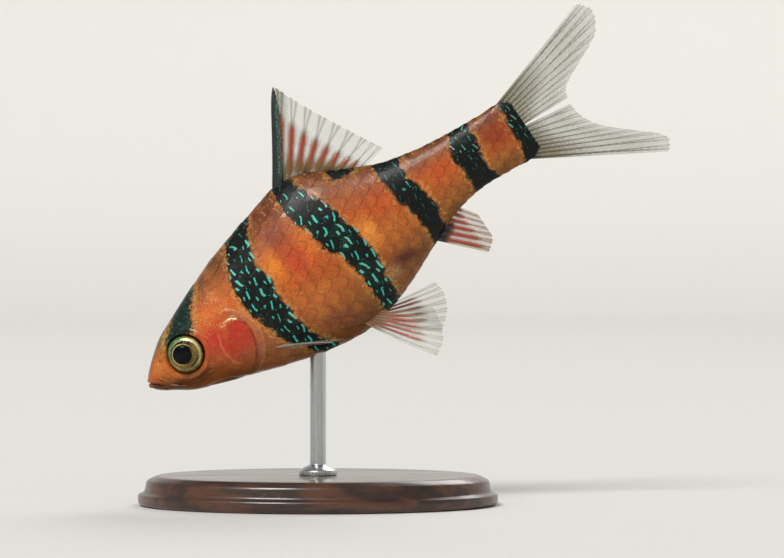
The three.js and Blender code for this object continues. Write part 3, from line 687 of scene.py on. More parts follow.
def scale_material():
    """Scales: mottled flesh, and in the bars black with bright dashes across them."""
    colours = bpy.context.scene.barb_colours
    brush = Brush("barb_scales")
    spot = brush.fish()
    across = brush.node("ShaderNodeSeparateXYZ", {0: brush.node("ShaderNodeUVMap", uv_map="scale")})
    along = across.node.outputs[1]
    chance = brush.stored("chance")
    grain = brush.noise(spot, 8.0, 3, 0.65)
    fine = brush.noise(spot, 2.6, 3, 0.65)
    # A scale's rear edge is round; level follows it at the sides, so that a dash stays straight.
    middle = brush.apart(across, brush.range(chance, 0, 1, 0.42, 0.58))
    level = brush.times(along, brush.minus(1.0, brush.times(brush.times(middle, middle), 1.2)))
    grains = brush.range(brush.noise(spot, 9.0, 3, 0.65), 0.25, 0.75, -0.42, 0.42)
    grains = brush.plus(grains, brush.range(chance, 0, 1, -0.26, 0.22))
    streak = dashes(brush, spot, across, middle, level, chance)
    glint = brush.plus(brush.times(streak, 1.15), grains)
    # Between the bars: flesh, flecks and a golden margin.
    thin = brush.range(brush.stored("fleck"), 0.2, 0.5, -0.8, -0.12)
    dash = brush.range(brush.plus(glint, thin), 0.6, 0.9, 0, 0.3)
    fleck = brush.most(flecks_of(brush, spot, fine), dash, clamp=True)
    tint = brush.mix(fleck, scale_flesh(brush, spot, grain, along, level, chance), colours.fleck)
    depth = brush.plus(brush.stored("bar"), brush.range(grain, 0.2, 0.8, -0.05, 0.05))
    depth = brush.plus(depth, brush.range(brush.noise(spot, 1.2, 1), 0.3, 0.7, -0.13, 0.13))
    margin = brush.times(brush.range(depth, -0.55, -0.12), brush.range(brush.noise(spot, 3.0, 3), 0.4, 0.7))
    tint = brush.mix(brush.times(margin, 0.45), tint, colours.margin)
    dark = brush.range(depth, -0.14, 0.2)
    # In the bars: dashes and motes, bright in the middle, over a deep green glow.
    lively = brush.times(brush.minus(brush.stored("lively"), 1.0), 1.2)
    strength = brush.plus(glint, lively)
    motes = brush.range(brush.cells(spot, 7.0), 0.06, 0.2, 0.7, 0)
    motes = brush.times(motes, brush.range(brush.plus(fine, lively), 0.4, 0.56))
    bright = brush.most(brush.range(strength, 0.42, 0.68), motes)
    deep = brush.most(brush.range(grain, 0.4, 0.7, 0, 0.8), brush.range(strength, 0.55, 0.95, 1, 0))
    glow_tint = brush.mix(deep, colours.gleam, colours.gleam_deep)
    glow_tint = brush.mix(brush.range(chance, 0.5, 0.9, 0, 0.4), glow_tint, "#8fb39c")
    ground = brush.mix(brush.range(strength, -0.15, 0.5, 0, 0.85), colours.bar, "#0b332d")
    bar_tint = brush.mix(bright, ground, glow_tint)
    shine = brush.most(brush.times(bright, dark), brush.times(fleck, 0.7))
    relief = brush.plus(grain, brush.times(brush.wave(brush.times(along, 60.0)), 0.1))
    coat = brush.range(dark, 0, 1, 0.13, 0.05)
    wet(brush, brush.mix(dark, tint, bar_tint), shine, coat, grain, relief, 0.3)
    return brush.material


def iris_material():
    """Bronze iris: a thin bright ring round the pupil, a dusky upper front and a pale outer rim behind."""
    brush = Brush("barb_iris")
    place = brush.node("ShaderNodeUVMap", uv_map="eye")
    sway = brush.noise(brush.fish(), 3.2, 3, 0.6)
    out = brush.plus(brush.vector("LENGTH", place, output=1), brush.range(sway, 0.3, 0.7, -0.025, 0.025))
    spoke = brush.vector("NORMALIZE", place)
    look = [amount / EYE["radius"] for amount in GLANCE]
    near = brush.vector("LENGTH", brush.vector("SUBTRACT", place, (*look, 0)), output=1)
    near = brush.plus(near, brush.range(sway, 0.3, 0.7, -0.02, 0.02))

    def towards(s, z, low, high, to_low=0.0, to_high=1.0):
        """Share of the iris that lies towards a direction from its middle."""
        share = brush.vector("DOT_PRODUCT", spoke, (s, z, 0), output=1)
        return brush.range(share, low, high, to_low, to_high)

    def ring(inner, outer, soft, out=out):
        """Share of the iris between two distances from its middle, with soft edges."""
        edge = brush.range(out, inner - soft, inner + soft)
        return brush.times(edge, brush.range(out, outer - soft, outer + soft, 1, 0))

    streaks = brush.noise(brush.stretched(spoke, (9, 9, 9)), 1.0, 3, 0.6)
    clouds = brush.noise(brush.fish(), 1.5, 3, 0.6)
    tint = brush.mix(brush.range(clouds, 0.35, 0.65), "#6b5420", "#8f7a38")
    tint = brush.mix(brush.range(streaks, 0.4, 0.7, 0, 0.5), tint, "#b59a4c")
    dusky = brush.times(towards(-0.1, 1.0, -0.1, 0.75), ring(0.4, 0.8, 0.07))
    tint = brush.mix(dusky, tint, brush.mix(brush.range(streaks, 0.35, 0.65), "#150d06", "#38240c"))
    blot = brush.times(towards(0.35, -0.94, 0.84, 0.97), ring(0.64, 0.84, 0.05))
    tint = brush.mix(brush.times(blot, 0.85), tint, "#1d1a0c")
    rim = brush.times(towards(0.95, 0.3, -0.55, 0.35, 0.3, 1), ring(0.75, 0.89, 0.03))
    tint = brush.mix(rim, tint, brush.mix(brush.range(clouds, 0.4, 0.6), "#c9bd84", "#efe3ae"))
    green = brush.times(towards(-0.42, 0.9, 0.35, 0.8), ring(0.78, 0.95, 0.04))
    tint = brush.mix(brush.times(green, brush.range(streaks, 0.3, 0.55)), tint, "#3f8a4e")
    bright = brush.times(ring(0.5, 0.565, 0.02, near), brush.range(sway, 0.3, 0.6, 0.35, 1))
    tint = brush.mix(bright, tint, "#f2dc8e")
    # Painted shade: a dark edge all round the eye, where it sinks into its socket.
    tint = brush.mix(brush.range(out, 0.94, 0.99), tint, "#120c06")
    brush.set(Base_Color=tint, Metallic=0.5, Roughness=0.36, Specular_IOR_Level=0.3)
    brush.bump(streaks, 0.2, 0.00004)
    return brush.material


def pupil_material():
    """Wet black of the pupil."""
    brush = Brush("barb_pupil")
    depth = brush.range(brush.noise(brush.fish(), 1.1, 2), 0.3, 0.7)
    brush.set(Base_Color=brush.mix(depth, "#010102", "#03050c"), Roughness=0.25, Specular_IOR_Level=0.1)
    return brush.material


def cornea_material():
    """Clear dome over the eye: nothing but its reflections."""
    brush = Brush("barb_cornea")
    clear = brush.node("ShaderNodeBsdfTransparent")
    gloss = brush.node("ShaderNodeBsdfGlossy", {"Roughness": 0.03})
    rim = brush.node("ShaderNodeFresnel", {"IOR": 1.18})
    mixed = brush.node("ShaderNodeMixShader", {0: rim, 1: clear, 2: gloss})
    brush.tree.nodes.remove(brush.shader)
    brush.feed(brush.tree.nodes["Material Output"].inputs["Surface"], mixed)
    return brush.material


def fin_material():
    """Fin skin: its tint and how much it covers are stored on the mesh."""
    brush = Brush("barb_fin")
    grain = brush.noise(brush.fish(), 6.0, 3, 0.6)
    tint = brush.shade(brush.range(grain, 0.3, 0.75, 0, 0.6), brush.stored("tint", "Color"), (0.7, 0.62, 0.5))
    cover = brush.times(brush.stored("cover"), brush.range(grain, 0.2, 0.8, 0.75, 1.2), clamp=True)
    brush.set(Base_Color=tint, Alpha=cover, Roughness=0.28, Coat_Weight=0.3, Coat_Roughness=0.1)
    brush.bump(grain, 0.2, 0.00003)
    return brush.material


def spine_material():
    """Black fin spine, grey-green along its rear half, with blue-green flecks there."""
    colours = bpy.context.scene.barb_colours
    brush = Brush("barb_spine")
    spot = brush.fish()
    grain = brush.noise(spot, 5.0, 3)
    rear = brush.stored("rear")
    share = brush.times(rear, brush.range(brush.cells(spot, 4.2), 0.1, 0.34, 1, 0))
    tint = brush.mix(brush.range(grain, 0.35, 0.7), colours.bar, "#0d1a1c")
    tint = brush.mix(brush.times(rear, brush.range(grain, 0.3, 0.6, 0.3, 0.85)), tint, "#3f5c50")
    tint = brush.mix(share, tint, brush.mix(brush.range(grain, 0.4, 0.6), "#8fd2cc", colours.gleam))
    shine = brush.times(share, 0.5)
    brush.set(Base_Color=tint, Metallic=shine, Roughness=0.3, Coat_Weight=0.6, Coat_Roughness=0.08)
    brush.bump(grain, 0.25, 0.00005)
    return brush.material


def wood_material():
    """Dark, varnished hardwood with its grain along the base."""
    brush = Brush("stand_hardwood")
    spot = brush.node("ShaderNodeTexCoord", output="Object")
    warp = brush.noise(brush.stretched(spot, (30, 120, 120)), 1.0, 3)
    grain = brush.noise(brush.stretched(spot, (60, 700, 700)), 1.0, 5, 0.6)
    rings = brush.wave(brush.times(brush.plus(warp, brush.times(grain, 0.2)), 46.0))
    pores = brush.range(brush.noise(brush.stretched(spot, (260, 5200, 5200)), 1.0, 2), 0.62, 0.7)
    tint = brush.mix(brush.range(rings, -1, 1), "#2a160c", "#54301b")
    tint = brush.mix(brush.range(grain, 0.35, 0.7, 0, 0.6), tint, "#3a2012")
    tint = brush.mix(pores, tint, "#140a05")
    gloss = brush.range(grain, 0.3, 0.7, 0.3, 0.42)
    brush.set(Base_Color=tint, Roughness=gloss, Coat_Weight=0.5, Coat_Roughness=0.12)
    brush.bump(brush.minus(grain, pores), 0.25, 0.00005)
    return brush.material


def steel_material():
    """Steel, brushed round the rod."""
    brush = Brush("stand_brushed_steel")
    spot = brush.node("ShaderNodeTexCoord", output="Object")
    lines = brush.noise(brush.stretched(spot, (7000, 7000, 90)), 1.0, 2)
    tint = brush.mix(brush.range(lines, 0.3, 0.7), "#b9bcbe", "#c9cbcc")
    brush.set(Base_Color=tint, Metallic=1.0, Roughness=brush.range(lines, 0.3, 0.7, 0.26, 0.32))
    brush.bump(lines, 0.05, 0.00001)
    return brush.material


def paper_material():
    """Pale, matt paper of the floor."""
    brush = Brush("floor_paper")
    fine = brush.noise(brush.node("ShaderNodeTexCoord", output="Object"), 900.0, 2)
    brush.set(Base_Color=brush.mix(fine, "#d9d8d4", "#dfdeda"), Roughness=0.9)
    return brush.material


# Sizes and colours that a user would change.


def size(label, description, default, least=0.0):
    """A length that a user may set, in millimetres."""
    return FloatProperty(name=label, description=description, default=default, min=least)


def paint_tube(label, description, code):
    """A colour that a user may set, given by its #rrggbb code."""
    default = tuple(tone(code))
    words = {"name": label, "description": description}
    return FloatVectorProperty(**words, subtype="COLOR", size=3, default=default)


class BarbSizes(bpy.types.PropertyGroup):
    bed: size("Scale bed", "How far the skin lies under the scales, in mm", 0.06)
    scale_along: size("Scale spacing along", "Distance between columns of scales, in mm", 1.42, 0.5)
    scale_across: size("Scale spacing across", "Distance between rows of scales, in mm", 1.5, 0.5)
    scale_thickness: size("Scale thickness", "Thickness of a scale at its free edge, in mm", 0.03)
    ray_columns: IntProperty(
        name="Columns in a ray",
        description="How finely each fin ray and its membrane are divided across",
        default=16,
        min=4,
    )


class BarbColours(bpy.types.PropertyGroup):
    ridge: paint_tube("Ridge", "Skin along the top of the back", "#5c381e")
    back: paint_tube("Back", "Skin of the upper flank", "#97552c")
    flank: paint_tube("Flank", "Skin of the middle of the flank", "#bc5a2a")
    flank_low: paint_tube("Lower flank", "Skin of the lower flank", "#b3642a")
    # The belly's tan, darkened with painted shade, as the underside lies in shade.
    belly: paint_tube("Belly", "Skin of the belly", "#8a5a2a")
    bar: paint_tube("Bar", "Ground of the dark bars", "#060908")
    gleam: paint_tube("Gleam", "Bright streaks in the bars", "#56dcc8")
    gleam_deep: paint_tube("Deep gleam", "Darker part of those streaks", "#118474")
    fleck: paint_tube("Fleck", "Pale metallic flecks", "#e9c894")
    margin: paint_tube("Margin", "Thin pale margin beside the bars", "#e2ab55")


# The skin.


# How finely the skin is divided: steps over the snout's dome, at the tail's edge, and round the body.
SNOUT_STEPS = 12
TAIL_STEPS = 6
ROUND_STEPS = 320
# How far the rounded ends reach past the first and the last ring.
SNOUT_DOME = 0.14
TAIL_EDGE = 0.15


def skin_relief(s, z):
    """Height of the head's features over the bare body, and the bed of the scales behind it."""
    bed = bpy.context.scene.barb_sizes.bed
    height = -bed * ease(s - gill_edge(z), -0.3, 0.5)
    # Gill plate and its soft fringe, each with a free rear edge.
    plate = inside(GILL_PLATE, s, z)
    fringe = inside(GILL_FRINGE, s, z)
    rearward = ease(s, 8.2, 10.4)
    height += 0.24 * ease(plate, -0.02, 0.14) * (0.3 + 0.7 * rearward)
    height += 0.16 * ease(fringe, -0.02, 0.1) * rearward
    front = off_line(CHEEK_EDGE, s, z)
    height += 0.04 * bell(front - 0.28, 0.16) * (plate < 0) - 0.04 * bell(front, 0.1)
    # Orbit: a hollow for the eye and a low rim round it.
    out = np.hypot(s - EYE["s"], z - EYE["z"])
    height -= 1.1 * ease(-out, -2.06, -1.78)
    height += 0.12 * bell(out - 2.4, 0.2)
    # Nostrils, with a flap behind each.
    height -= 0.3 * bell(np.hypot((s - 2.0) / 1.25, z - 1.0), 0.2)
    height += 0.1 * bell(np.hypot(s - 2.3, z - 1.12), 0.14)
    # Mouth line between two lips.
    mouth = off_line(MOUTH, s, z)
    reach = ease(-s, -1.45, -0.9)
    height += (0.11 * bell(mouth - 0.24, 0.15) - 0.26 * bell(mouth, 0.07)) * reach
    # Folds of the cheek and of the throat.
    height -= 0.07 * bell(off_line(CHEEK_FOLD, s, z), 0.12)
    height -= 0.1 * bell(off_line(THROAT_FOLD, s, z), 0.12)
    return height


def skin_rings():
    """Distances along the body at which the skin has rings: close on the head, wider behind."""
    rings = [BODY_START]
    while rings[-1] < BODY_END - 0.05:
        s = rings[-1]
        rings.append(s + 0.05 + 0.05 * float(ease(s, 0.8, 2.5)) + 0.2 * float(ease(s, 12.6, 15)))
    rings[-1] = BODY_END
    return np.array(rings)


def outward_normal(spot, first, second):
    """Unit normals of two directions in the surface, turned away from the body's axis."""
    normal = np.cross(first, second)
    normal /= np.linalg.norm(normal, axis=1)[:, None] + 1e-12
    outward = normal[:, 1] * spot[:, 1] + normal[:, 2] * (spot[:, 2] - station("waist", spot[:, 0]))
    return normal * np.where(outward < 0, -1, 1)[:, None]


def skin_place(rings):
    """Gives the function that lays the skin's grid on the body, rounded off at both ends."""
    last = len(rings) - 1

    def place(u, v):
        row = np.rint(u * (SNOUT_STEPS + last + TAIL_STEPS)).astype(int)
        s = rings[np.clip(row - SNOUT_STEPS, 0, last)]
        angle = v * 2 * math.pi
        spot = section(s, angle)
        step = 0.02
        along = section(s + step, angle) - section(s - step, angle)
        around = section(s, angle + step) - section(s, angle - step)
        normal = outward_normal(spot, along, around)
        # Snout: the first ring closes over a low dome.
        opened = np.clip(row / SNOUT_STEPS, 0, 1) * math.pi / 2
        middle = np.stack([s, 0 * s, station("waist", s)], -1)
        spot = middle + (spot - middle) * np.sin(opened)[:, None]
        spot[:, 0] -= SNOUT_DOME * np.cos(opened)
        normal = normal * np.sin(opened)[:, None] - np.array([1.0, 0, 0]) * np.cos(opened)[:, None]
        # Tail base: the last ring narrows to an edge.
        closed = np.clip((row - SNOUT_STEPS - last) / TAIL_STEPS, 0, 1) * math.pi / 2
        spot[:, 1] *= np.cos(closed)
        spot[:, 0] += TAIL_EDGE * np.sin(closed)
        lift = skin_relief(spot[:, 0], spot[:, 2]) * np.cos(closed)
        return spot + normal * lift[:, None]

    return place


def paint_flesh(mesh, points):
    """Stores the flesh colour and the flecks of some points, given in the fish's frame."""
    s, z = points[:, 0], points[:, 2]
    put(mesh, "paint", flesh(s, z, bpy.context.scene.barb_colours))
    put(mesh, "fleck", fleck_share(s, z))


class BARB_OT_skin(bpy.types.Operator):
    """Lay one skin over head, trunk, gill covers and tail stem"""

    bl_idname = "barb.skin"
    bl_label = "Skin"

    def execute(self, context):
        rings = skin_rings()
        columns = SNOUT_STEPS + len(rings) - 1 + TAIL_STEPS
        bm = sheet(columns, ROUND_STEPS, skin_place(rings))
        nodes = ("head", "trunk", "tail_stem", "gill_cover_left", "gill_cover_right")
        skin = finish_piece("fish_skin", bm, skin_material(), nodes)
        points = fish_points(skin.data)
        paint_flesh(skin.data, points)
        put(skin.data, "bar", bar_depth(points[:, 0], points[:, 2]))
        return {"FINISHED"}


# The scales.


# Where the first column of scales lies, how many rows lie above and below the widest line, and how
# many columns a scale reaches over.
FIRST_SCALE = 8.6
SCALE_ROWS = 9
SCALE_LENGTH = 1.95
# The side of a scale's own patch on the bake map.
BAKE_PATCH = 0.003


def scale_seats():
    """One row for each scale: distance s, length up round the body, side, and the two spacings."""
    sizes = bpy.context.scene.barb_sizes
    seats = []
    s, column = FIRST_SCALE, 0
    while s < BODY_END - 0.9:
        smaller = 1 - 0.26 * float(ease(s, 22, 40)) - 0.1 * float(ease(-s, -16, -9))
        along, across = sizes.scale_along * smaller, sizes.scale_across * smaller
        for side in SIDES.values():
            for row in range(-SCALE_ROWS, SCALE_ROWS + 1):
                seats.append((s, (row + 0.5 * (column % 2)) * across, side, along, across))
        s += along
        column += 1
    seats = np.array(seats)
    spots, whole = on_skin(seats[:, 0], seats[:, 1], seats[:, 2])
    over_ridge = np.abs(seats[:, 1]) > whole + 0.2 * seats[:, 4]
    return seats[~over_ridge & (seats[:, 0] > gill_edge(spots[:, 2]) - 0.35)]


def scale_plate():
    """One scale: x across from -1 to 1, y from its root (0) to its free edge (1), z from -1 to 0."""
    bm = bmesh.new()
    bmesh.ops.create_grid(bm, x_segments=6, y_segments=4, size=1)
    bmesh.ops.translate(bm, verts=bm.verts, vec=(0, 1, 0))
    bmesh.ops.scale(bm, verts=bm.verts, vec=(1, 0.5, 1))
    lower = bmesh.ops.extrude_face_region(bm, geom=bm.faces[:], use_keep_orig=True)["geom"]
    bmesh.ops.translate(bm, verts=[v for v in lower if isinstance(v, bmesh.types.BMVert)], vec=(0, 0, -1))
    return as_mesh("scale_plate", bm)


def lay_scales(plate, seats, chance):
    """Where the points of all scales go, in the fish's frame, and where each lies on its scale."""
    across, along, deep = np.tile(gathered(plate.vertices, "co"), (len(seats), 1)).T
    s0, run0, side, pitch, height = np.repeat(seats, len(plate.vertices), 0).T
    length = np.minimum(SCALE_LENGTH * pitch, BODY_END - 0.04 - s0)
    s = s0 + length * along * (1 - 0.3 * across**2)
    run = run0 + across * height * (0.46 + 0.1 * np.sin(np.pi * along))
    spot, _ = on_skin(s, run, side)
    step = 0.04
    forward = on_skin(s - step, run, side)[0] - on_skin(s - 2 * step, run, side)[0]
    upward = on_skin(s, run + step, side)[0] - on_skin(s, run - step, side)[0]
    thick = bpy.context.scene.barb_sizes.scale_thickness
    # A scale's root is sunk in the skin, and its free edge stands a little proud.
    lift = -0.13 + 0.14 * along**0.8 - 0.03 * along * across**2 + deep * thick * (0.5 + 0.5 * along)
    lift += 0.012 * (np.repeat(chance, len(plate.vertices)) - 0.5)
    return spot + outward_normal(spot, forward, upward) * lift[:, None], across, along


class BARB_OT_scales(bpy.types.Operator):
    """Lay the overlapping scales on the trunk and the tail stem"""

    bl_idname = "barb.scales"
    bl_label = "Scales"

    def execute(self, context):
        seats = scale_seats()
        chance = np.random.default_rng(7).random(len(seats))
        plate = scale_plate()
        points, across, along = lay_scales(plate, seats, chance)
        bm = bmesh.new()
        for _ in seats:
            bm.from_mesh(plate)
        for vert, spot in zip(bm.verts, points):
            vert.co = spot
        for edge in bm.edges:
            edge.smooth = edge.calc_face_angle(0) < 0.9
        mesh = finish_piece("fish_scales", bm, scale_material()).data
        count = len(plate.vertices)
        bpy.data.meshes.remove(plate)
        put(mesh, "chance", np.repeat(chance, count))
        middle = on_skin(seats[:, 0] + 1.2 * seats[:, 3], seats[:, 1], seats[:, 2])[0]
        each = bar_depth(points[:, 0], points[:, 2])
        whole = np.repeat(bar_depth(middle[:, 0], middle[:, 2]), count)
        put(mesh, "bar", 0.75 * each + 0.25 * whole)
        put(mesh, "lively", lively_share(points[:, 0], points[:, 2]))
        paint_flesh(mesh, points)
        own = np.stack([(across + 1) / 2, along], -1)
        put_uv(mesh, "scale", own)
        # Each scale bakes into its own small patch, at its root's place on the unwrapped body.
        low = np.where(seats[:, 2] < 0, 0.25, 0.75)
        root = np.stack([0.02 + seats[:, 0] / (BODY_END + 4), low + 0.22 * seats[:, 1] / 11], -1)
        put_uv(mesh, "OFBake", np.repeat(root, count, 0) + BAKE_PATCH * (own - 0.5))
        return {"FINISHED"}


# The eyes and barbels.


def eye_frame(side):
    """Frame of one eye: its z axis looks out of the head."""
    spot, out = facing(EYE["s"], EYE["z"], side)
    turn = Vector((0, 0, 1)).rotation_difference(out).to_matrix().to_4x4()
    return Matrix.Translation(spot - out * EYE["sunk"]) @ turn


def cap(profile, rings=48, around=96):
    """A round cap: profile gives distances from its middle and heights, from the middle out."""

    def place(u, v):
        out, up = on_line(profile, u).T
        return np.stack([out * np.cos(v * 2 * math.pi), out * np.sin(v * 2 * math.pi), up], -1)

    bm = sheet(rings, around, place)
    bmesh.ops.holes_fill(bm, edges=bm.edges, sides=0)
    return bm


def dome(radius, bulge, height=0.0):
    """Profile of an ellipsoid's cap, closed a little below its widest ring."""
    tilts = np.linspace(0, math.pi / 2 + 0.3, 13)
    return [(radius * math.sin(tilt), height + bulge * math.cos(tilt)) for tilt in tilts]


# Profile of the iris: distance from its middle, and height.
IRIS = [
    (0, 0.42), (0.7, 0.42), (0.86, 0.5), (0.95, 0.66), (1.06, 0.7), (1.3, 0.66), (1.55, 0.56),
    (1.72, 0.4), (1.86, 0.12), (1.9, -0.1), (1.86, -0.3),
]


class BARB_OT_eyes(bpy.types.Operator):
    """Set both eyes: bronze iris, black pupil and clear cornea"""

    bl_idname = "barb.eyes"
    bl_label = "Eyes"

    def execute(self, context):
        iris, pupil, cornea = iris_material(), pupil_material(), cornea_material()
        for word, side in SIDES.items():
            into = FISH @ eye_frame(side)
            ring = cap(IRIS)
            mesh = finish_piece(f"iris_{word}", ring, iris, (f"eye_{word}",), into).data
            put_uv(mesh, "eye", (fish_points(mesh)[:, [0, 2]] - (EYE["s"], EYE["z"])) / EYE["radius"])
            lens = cap(dome(*PUPIL), 24, 64)
            glance = FISH @ Matrix.Translation((GLANCE[0], 0, GLANCE[1])) @ eye_frame(side)
            finish_piece(f"lens_{word}", lens, pupil, (f"pupil_{word}",), glance)
            clear = cap(dome(EYE["radius"] * 1.01, EYE["bulge"] * 1.05))
            finish_piece(f"cornea_{word}", clear, cornea, (), into)
        return {"FINISHED"}


# How far a barbel stands off the skin along its way, and each one's start, end and radius.
BARBEL_LIFT = [-0.3, 0.02, 0.14, 0.18, 0.16]
BARBELS = {"upper": [(0.75, 0.05), (1.9, -1.15), 0.12], "lower": [(1.3, -1.25), (3.1, -2.45), 0.15]}


class BARB_OT_barbels(bpy.types.Operator):
    """Lay the two pairs of short barbels along the snout and the corners of the mouth"""

    bl_idname = "barb.barbels"
    bl_label = "Barbels"

    def execute(self, context):
        bm = bmesh.new()
        for side in SIDES.values():
            for start, end, radius in BARBELS.values():
                line = []
                for share, lift in zip(np.linspace(0, 1, 5), BARBEL_LIFT):
                    spot, out = facing(*(np.array(start) + (np.array(end) - start) * share), side)
                    line.append(spot + out * lift)
                one = rod(line, lambda way, turn, r=radius: r * (1 - 0.55 * way), 40, 16)
                mesh = as_mesh("barbel", one)
                bm.from_mesh(mesh)
                bpy.data.meshes.remove(mesh)
        barbels = finish_piece("fish_barbels", bm, bpy.data.materials["barb_skin"])
        points = fish_points(barbels.data)
        paint_flesh(barbels.data, points)
        put(barbels.data, "bar", np.full(len(points), -2.0))
        return {"FINISHED"}


# The fins.


def rod(line, radius, rows, around, flat=1.0):
    """A round rod along a line, its radius given by the way along; flat squeezes it sideways."""

    def place(u, v):
        centre = on_line(line, u)
        ahead = on_line(line, np.minimum(u + 0.01, 1)) - on_line(line, np.maximum(u - 0.01, 0))
        ahead /= np.linalg.norm(ahead, axis=1)[:, None]
        rear = np.cross(ahead, np.array([0.0, 1, 0]))
        rear /= np.linalg.norm(rear, axis=1)[:, None]
        side = np.cross(rear, ahead)
        turn = v * 2 * math.pi
        size = radius(u, turn) * np.sqrt(np.clip(1 - (2 * np.abs(u - 0.5)) ** 24, 0, 1))
        return centre + (rear * np.cos(turn)[:, None] + side * (flat * np.sin(turn))[:, None]) * size[:, None]

    return sheet(rows, around, place)


def straight(start, end, shape):
    """A fin's root between two distances s, at the place across and the height that shape(s, part) gives."""

    def root(part):
        s = start + (end - start) * part
        return np.stack([s, *shape(s, part)], -1)

    return root


def fork(upper):
    """Root and tips of one lobe of the tail fin."""
    edge = TAIL_ROOT["upper" if upper else "lower"]
    inner = TAIL_ROOT["middle"] + (0.02 if upper else -0.02)
    ends = TAIL_ROOT["edge"], TAIL_ROOT["heart"]
    root = straight(*ends, lambda s, part: (0 * s, edge + (inner - edge) * part))
    return root, UPPER_TIPS if upper else LOWER_TIPS


# How deep the roots of the dorsal and anal fins lie in the body.
SINK = 0.9
# Each fin's root, from its front to its rear end, and its tips, from the front edge back.
DORSAL_ROOT = (21.0, 28.7)
DORSAL_TIPS = [(26.7, 0.5, 17.7), (28.2, 0.6, 14.2), (29.9, 0.6, 10.9), (31.5, 0.5, 7.9), (32.4, 0.4, 6.3)]
ANAL_ROOT = (31.1, 35.0)
ANAL_TIPS = [(35.3, -0.3, -8.3), (36.4, -0.4, -7.3), (36.5, -0.4, -5.9), (36.5, -0.3, -4.5)]
TAIL_ROOT = {"edge": 43.9, "heart": 44.6, "upper": 3.5, "lower": -2.85, "middle": 0.35}
UPPER_TIPS = [
    (56.7, 1, 7.5), (57.6, 1.1, 6), (56.4, 0.9, 3.9), (53.2, 0.6, 2.3), (51.1, 0.4, 1.2),
    (50.5, 0.35, 0.1),
]
LOWER_TIPS = [
    (56.1, 1, -10.1), (56.7, 1, -8.6), (54.2, 0.7, -6.2), (51.8, 0.5, -4), (50.7, 0.4, -2.2),
    (50.4, 0.35, -0.5),
]
PELVIC_ROOT = (20.9, 22.6)
PELVIC_TIPS = {
    "left": [(25.2, -3.5, -13.9), (26.6, -3.5, -12.9), (27.4, -3.1, -11.3), (27.6, -2.5, -9.6)],
    "right": [(27.0, 3.6, -12.3), (28.6, 3.6, -10.9), (29.4, 3.2, -9.1), (29.2, 2.5, -7.7)],
}
PECTORAL_ROOT = (11.85, 12.3)
PECTORAL_HEIGHTS = (-4.0, -4.95)
PECTORAL_TIPS = [(17.3, 7.2, -6.9), (18.5, 6.6, -7.3), (18.6, 5.6, -7.35), (17.9, 4.5, -7.1)]
PECTORAL_TIPS += [(16.6, 3.8, -6.7)]


def mirrored(tips, side):
    """A fin's tips on the given side of the body."""
    return [(s, side * y, z) for s, y, z in tips]


def ray_nearness(part, way, spread, rays, split, fine):
    """How near points are to a ray, 0 to 1; rays fork at split, and again further out."""
    nearest = np.full(len(part), np.inf)
    first = 0.2 * ease(way, split, 1.15)
    second = 0.09 * ease(way, split + 0.3, 1.2)
    for one in (-1, 1):
        for two in (-1, 1):
            line = (np.floor(part * rays * 0.9999) + 0.5 + one * first + two * second) / rays
            nearest = np.minimum(nearest, np.abs(part - line))
    return bell(nearest * spread, fine * (1 - 0.5 * way))


class Fin:
    """A fin of forking rays in a thin membrane, from root(part) to its tips, part 0 at its front edge."""

    # Half of the membrane's thickness at the root, and how far it falls short between the rays' ends.
    web = 0.035
    notch = 0.015

    def __init__(self, root, tips, bow, rays, split=0.45, fine=0.15, ridge=0.11, rows=60):
        self.root, self.tips, self.bow, self.rays = root, tips, bow, rays
        self.split, self.fine, self.ridge, self.rows = split, fine, ridge, rows

    def tip(self, part):
        """Points of the fin's outer edge."""
        return on_line(self.tips, part)

    def middle(self, part, way):
        """Points of the fin's middle surface: way 0 is the root and 1 the tips."""
        root = self.root(part)
        return root + (self.tip(part) - root) * way[:, None] + self.bow(part) * (4 * way * (1 - way))[:, None]

    def ray(self, part, way):
        """Nearness to a ray, in real distances across the fin."""
        ends = np.linspace(0, 1, 25)
        edges = (self.root(ends), self.tip(ends))
        near, far = (np.linalg.norm(np.diff(edge, axis=0), axis=1).sum() for edge in edges)
        return ray_nearness(part, way, near + (far - near) * way, self.rays, self.split, self.fine)

    @staticmethod
    def fold(u, v):
        """Part and way of the sheet's point, which runs over one face and back over the other."""
        return np.where(v < 0.5, 2 * v, 2 - 2 * v), u

    def place(self, u, v):
        """Points of the fin's two faces, thick at the rays and thin between them."""
        part, way = self.fold(u, v)
        ray = self.ray(part, way)
        short = way * (1 - self.notch * (1 - ray) * ease(way, 0.6, 1))
        step = 0.01
        before, behind = np.maximum(part - step, 0), np.minimum(part + step, 1)
        across = self.middle(behind, short) - self.middle(before, short)
        outward = self.middle(part, short + step) - self.middle(part, short - step)
        normal = np.cross(across, outward)
        normal /= np.linalg.norm(normal, axis=1)[:, None] + 1e-12
        joints = 1 - 0.3 * ease(np.sin(way * self.rows * 0.7), 0.5, 1) * ease(way, 0.2, 0.5)
        thick = self.web * (1 - 0.5 * way) + self.ridge * ray * (1 - 0.75 * way) * joints
        thick *= ease(np.minimum(part, 1 - part), 0, 0.01) * ease(way, 0, 0.02) * ease(-way, -1, -0.97)
        return self.middle(part, short) + normal * (np.where(v < 0.5, 1, -1) * thick)[:, None]

    def build(self, name, node, paint):
        """Makes the piece and stores its tint and cover, which paint(part, way, ray) gives."""
        columns = 2 * self.rays * bpy.context.scene.barb_sizes.ray_columns
        bm = sheet(self.rows, columns, self.place, weld=1e-5)
        mesh = finish_piece(name, bm, bpy.data.materials["barb_fin"], (node,)).data
        part, way = self.fold(*grid_of(mesh))
        tint, cover = paint(part, way, self.ray(part, way))
        put(mesh, "tint", tint)
        put(mesh, "cover", np.clip(cover, 0, 1))


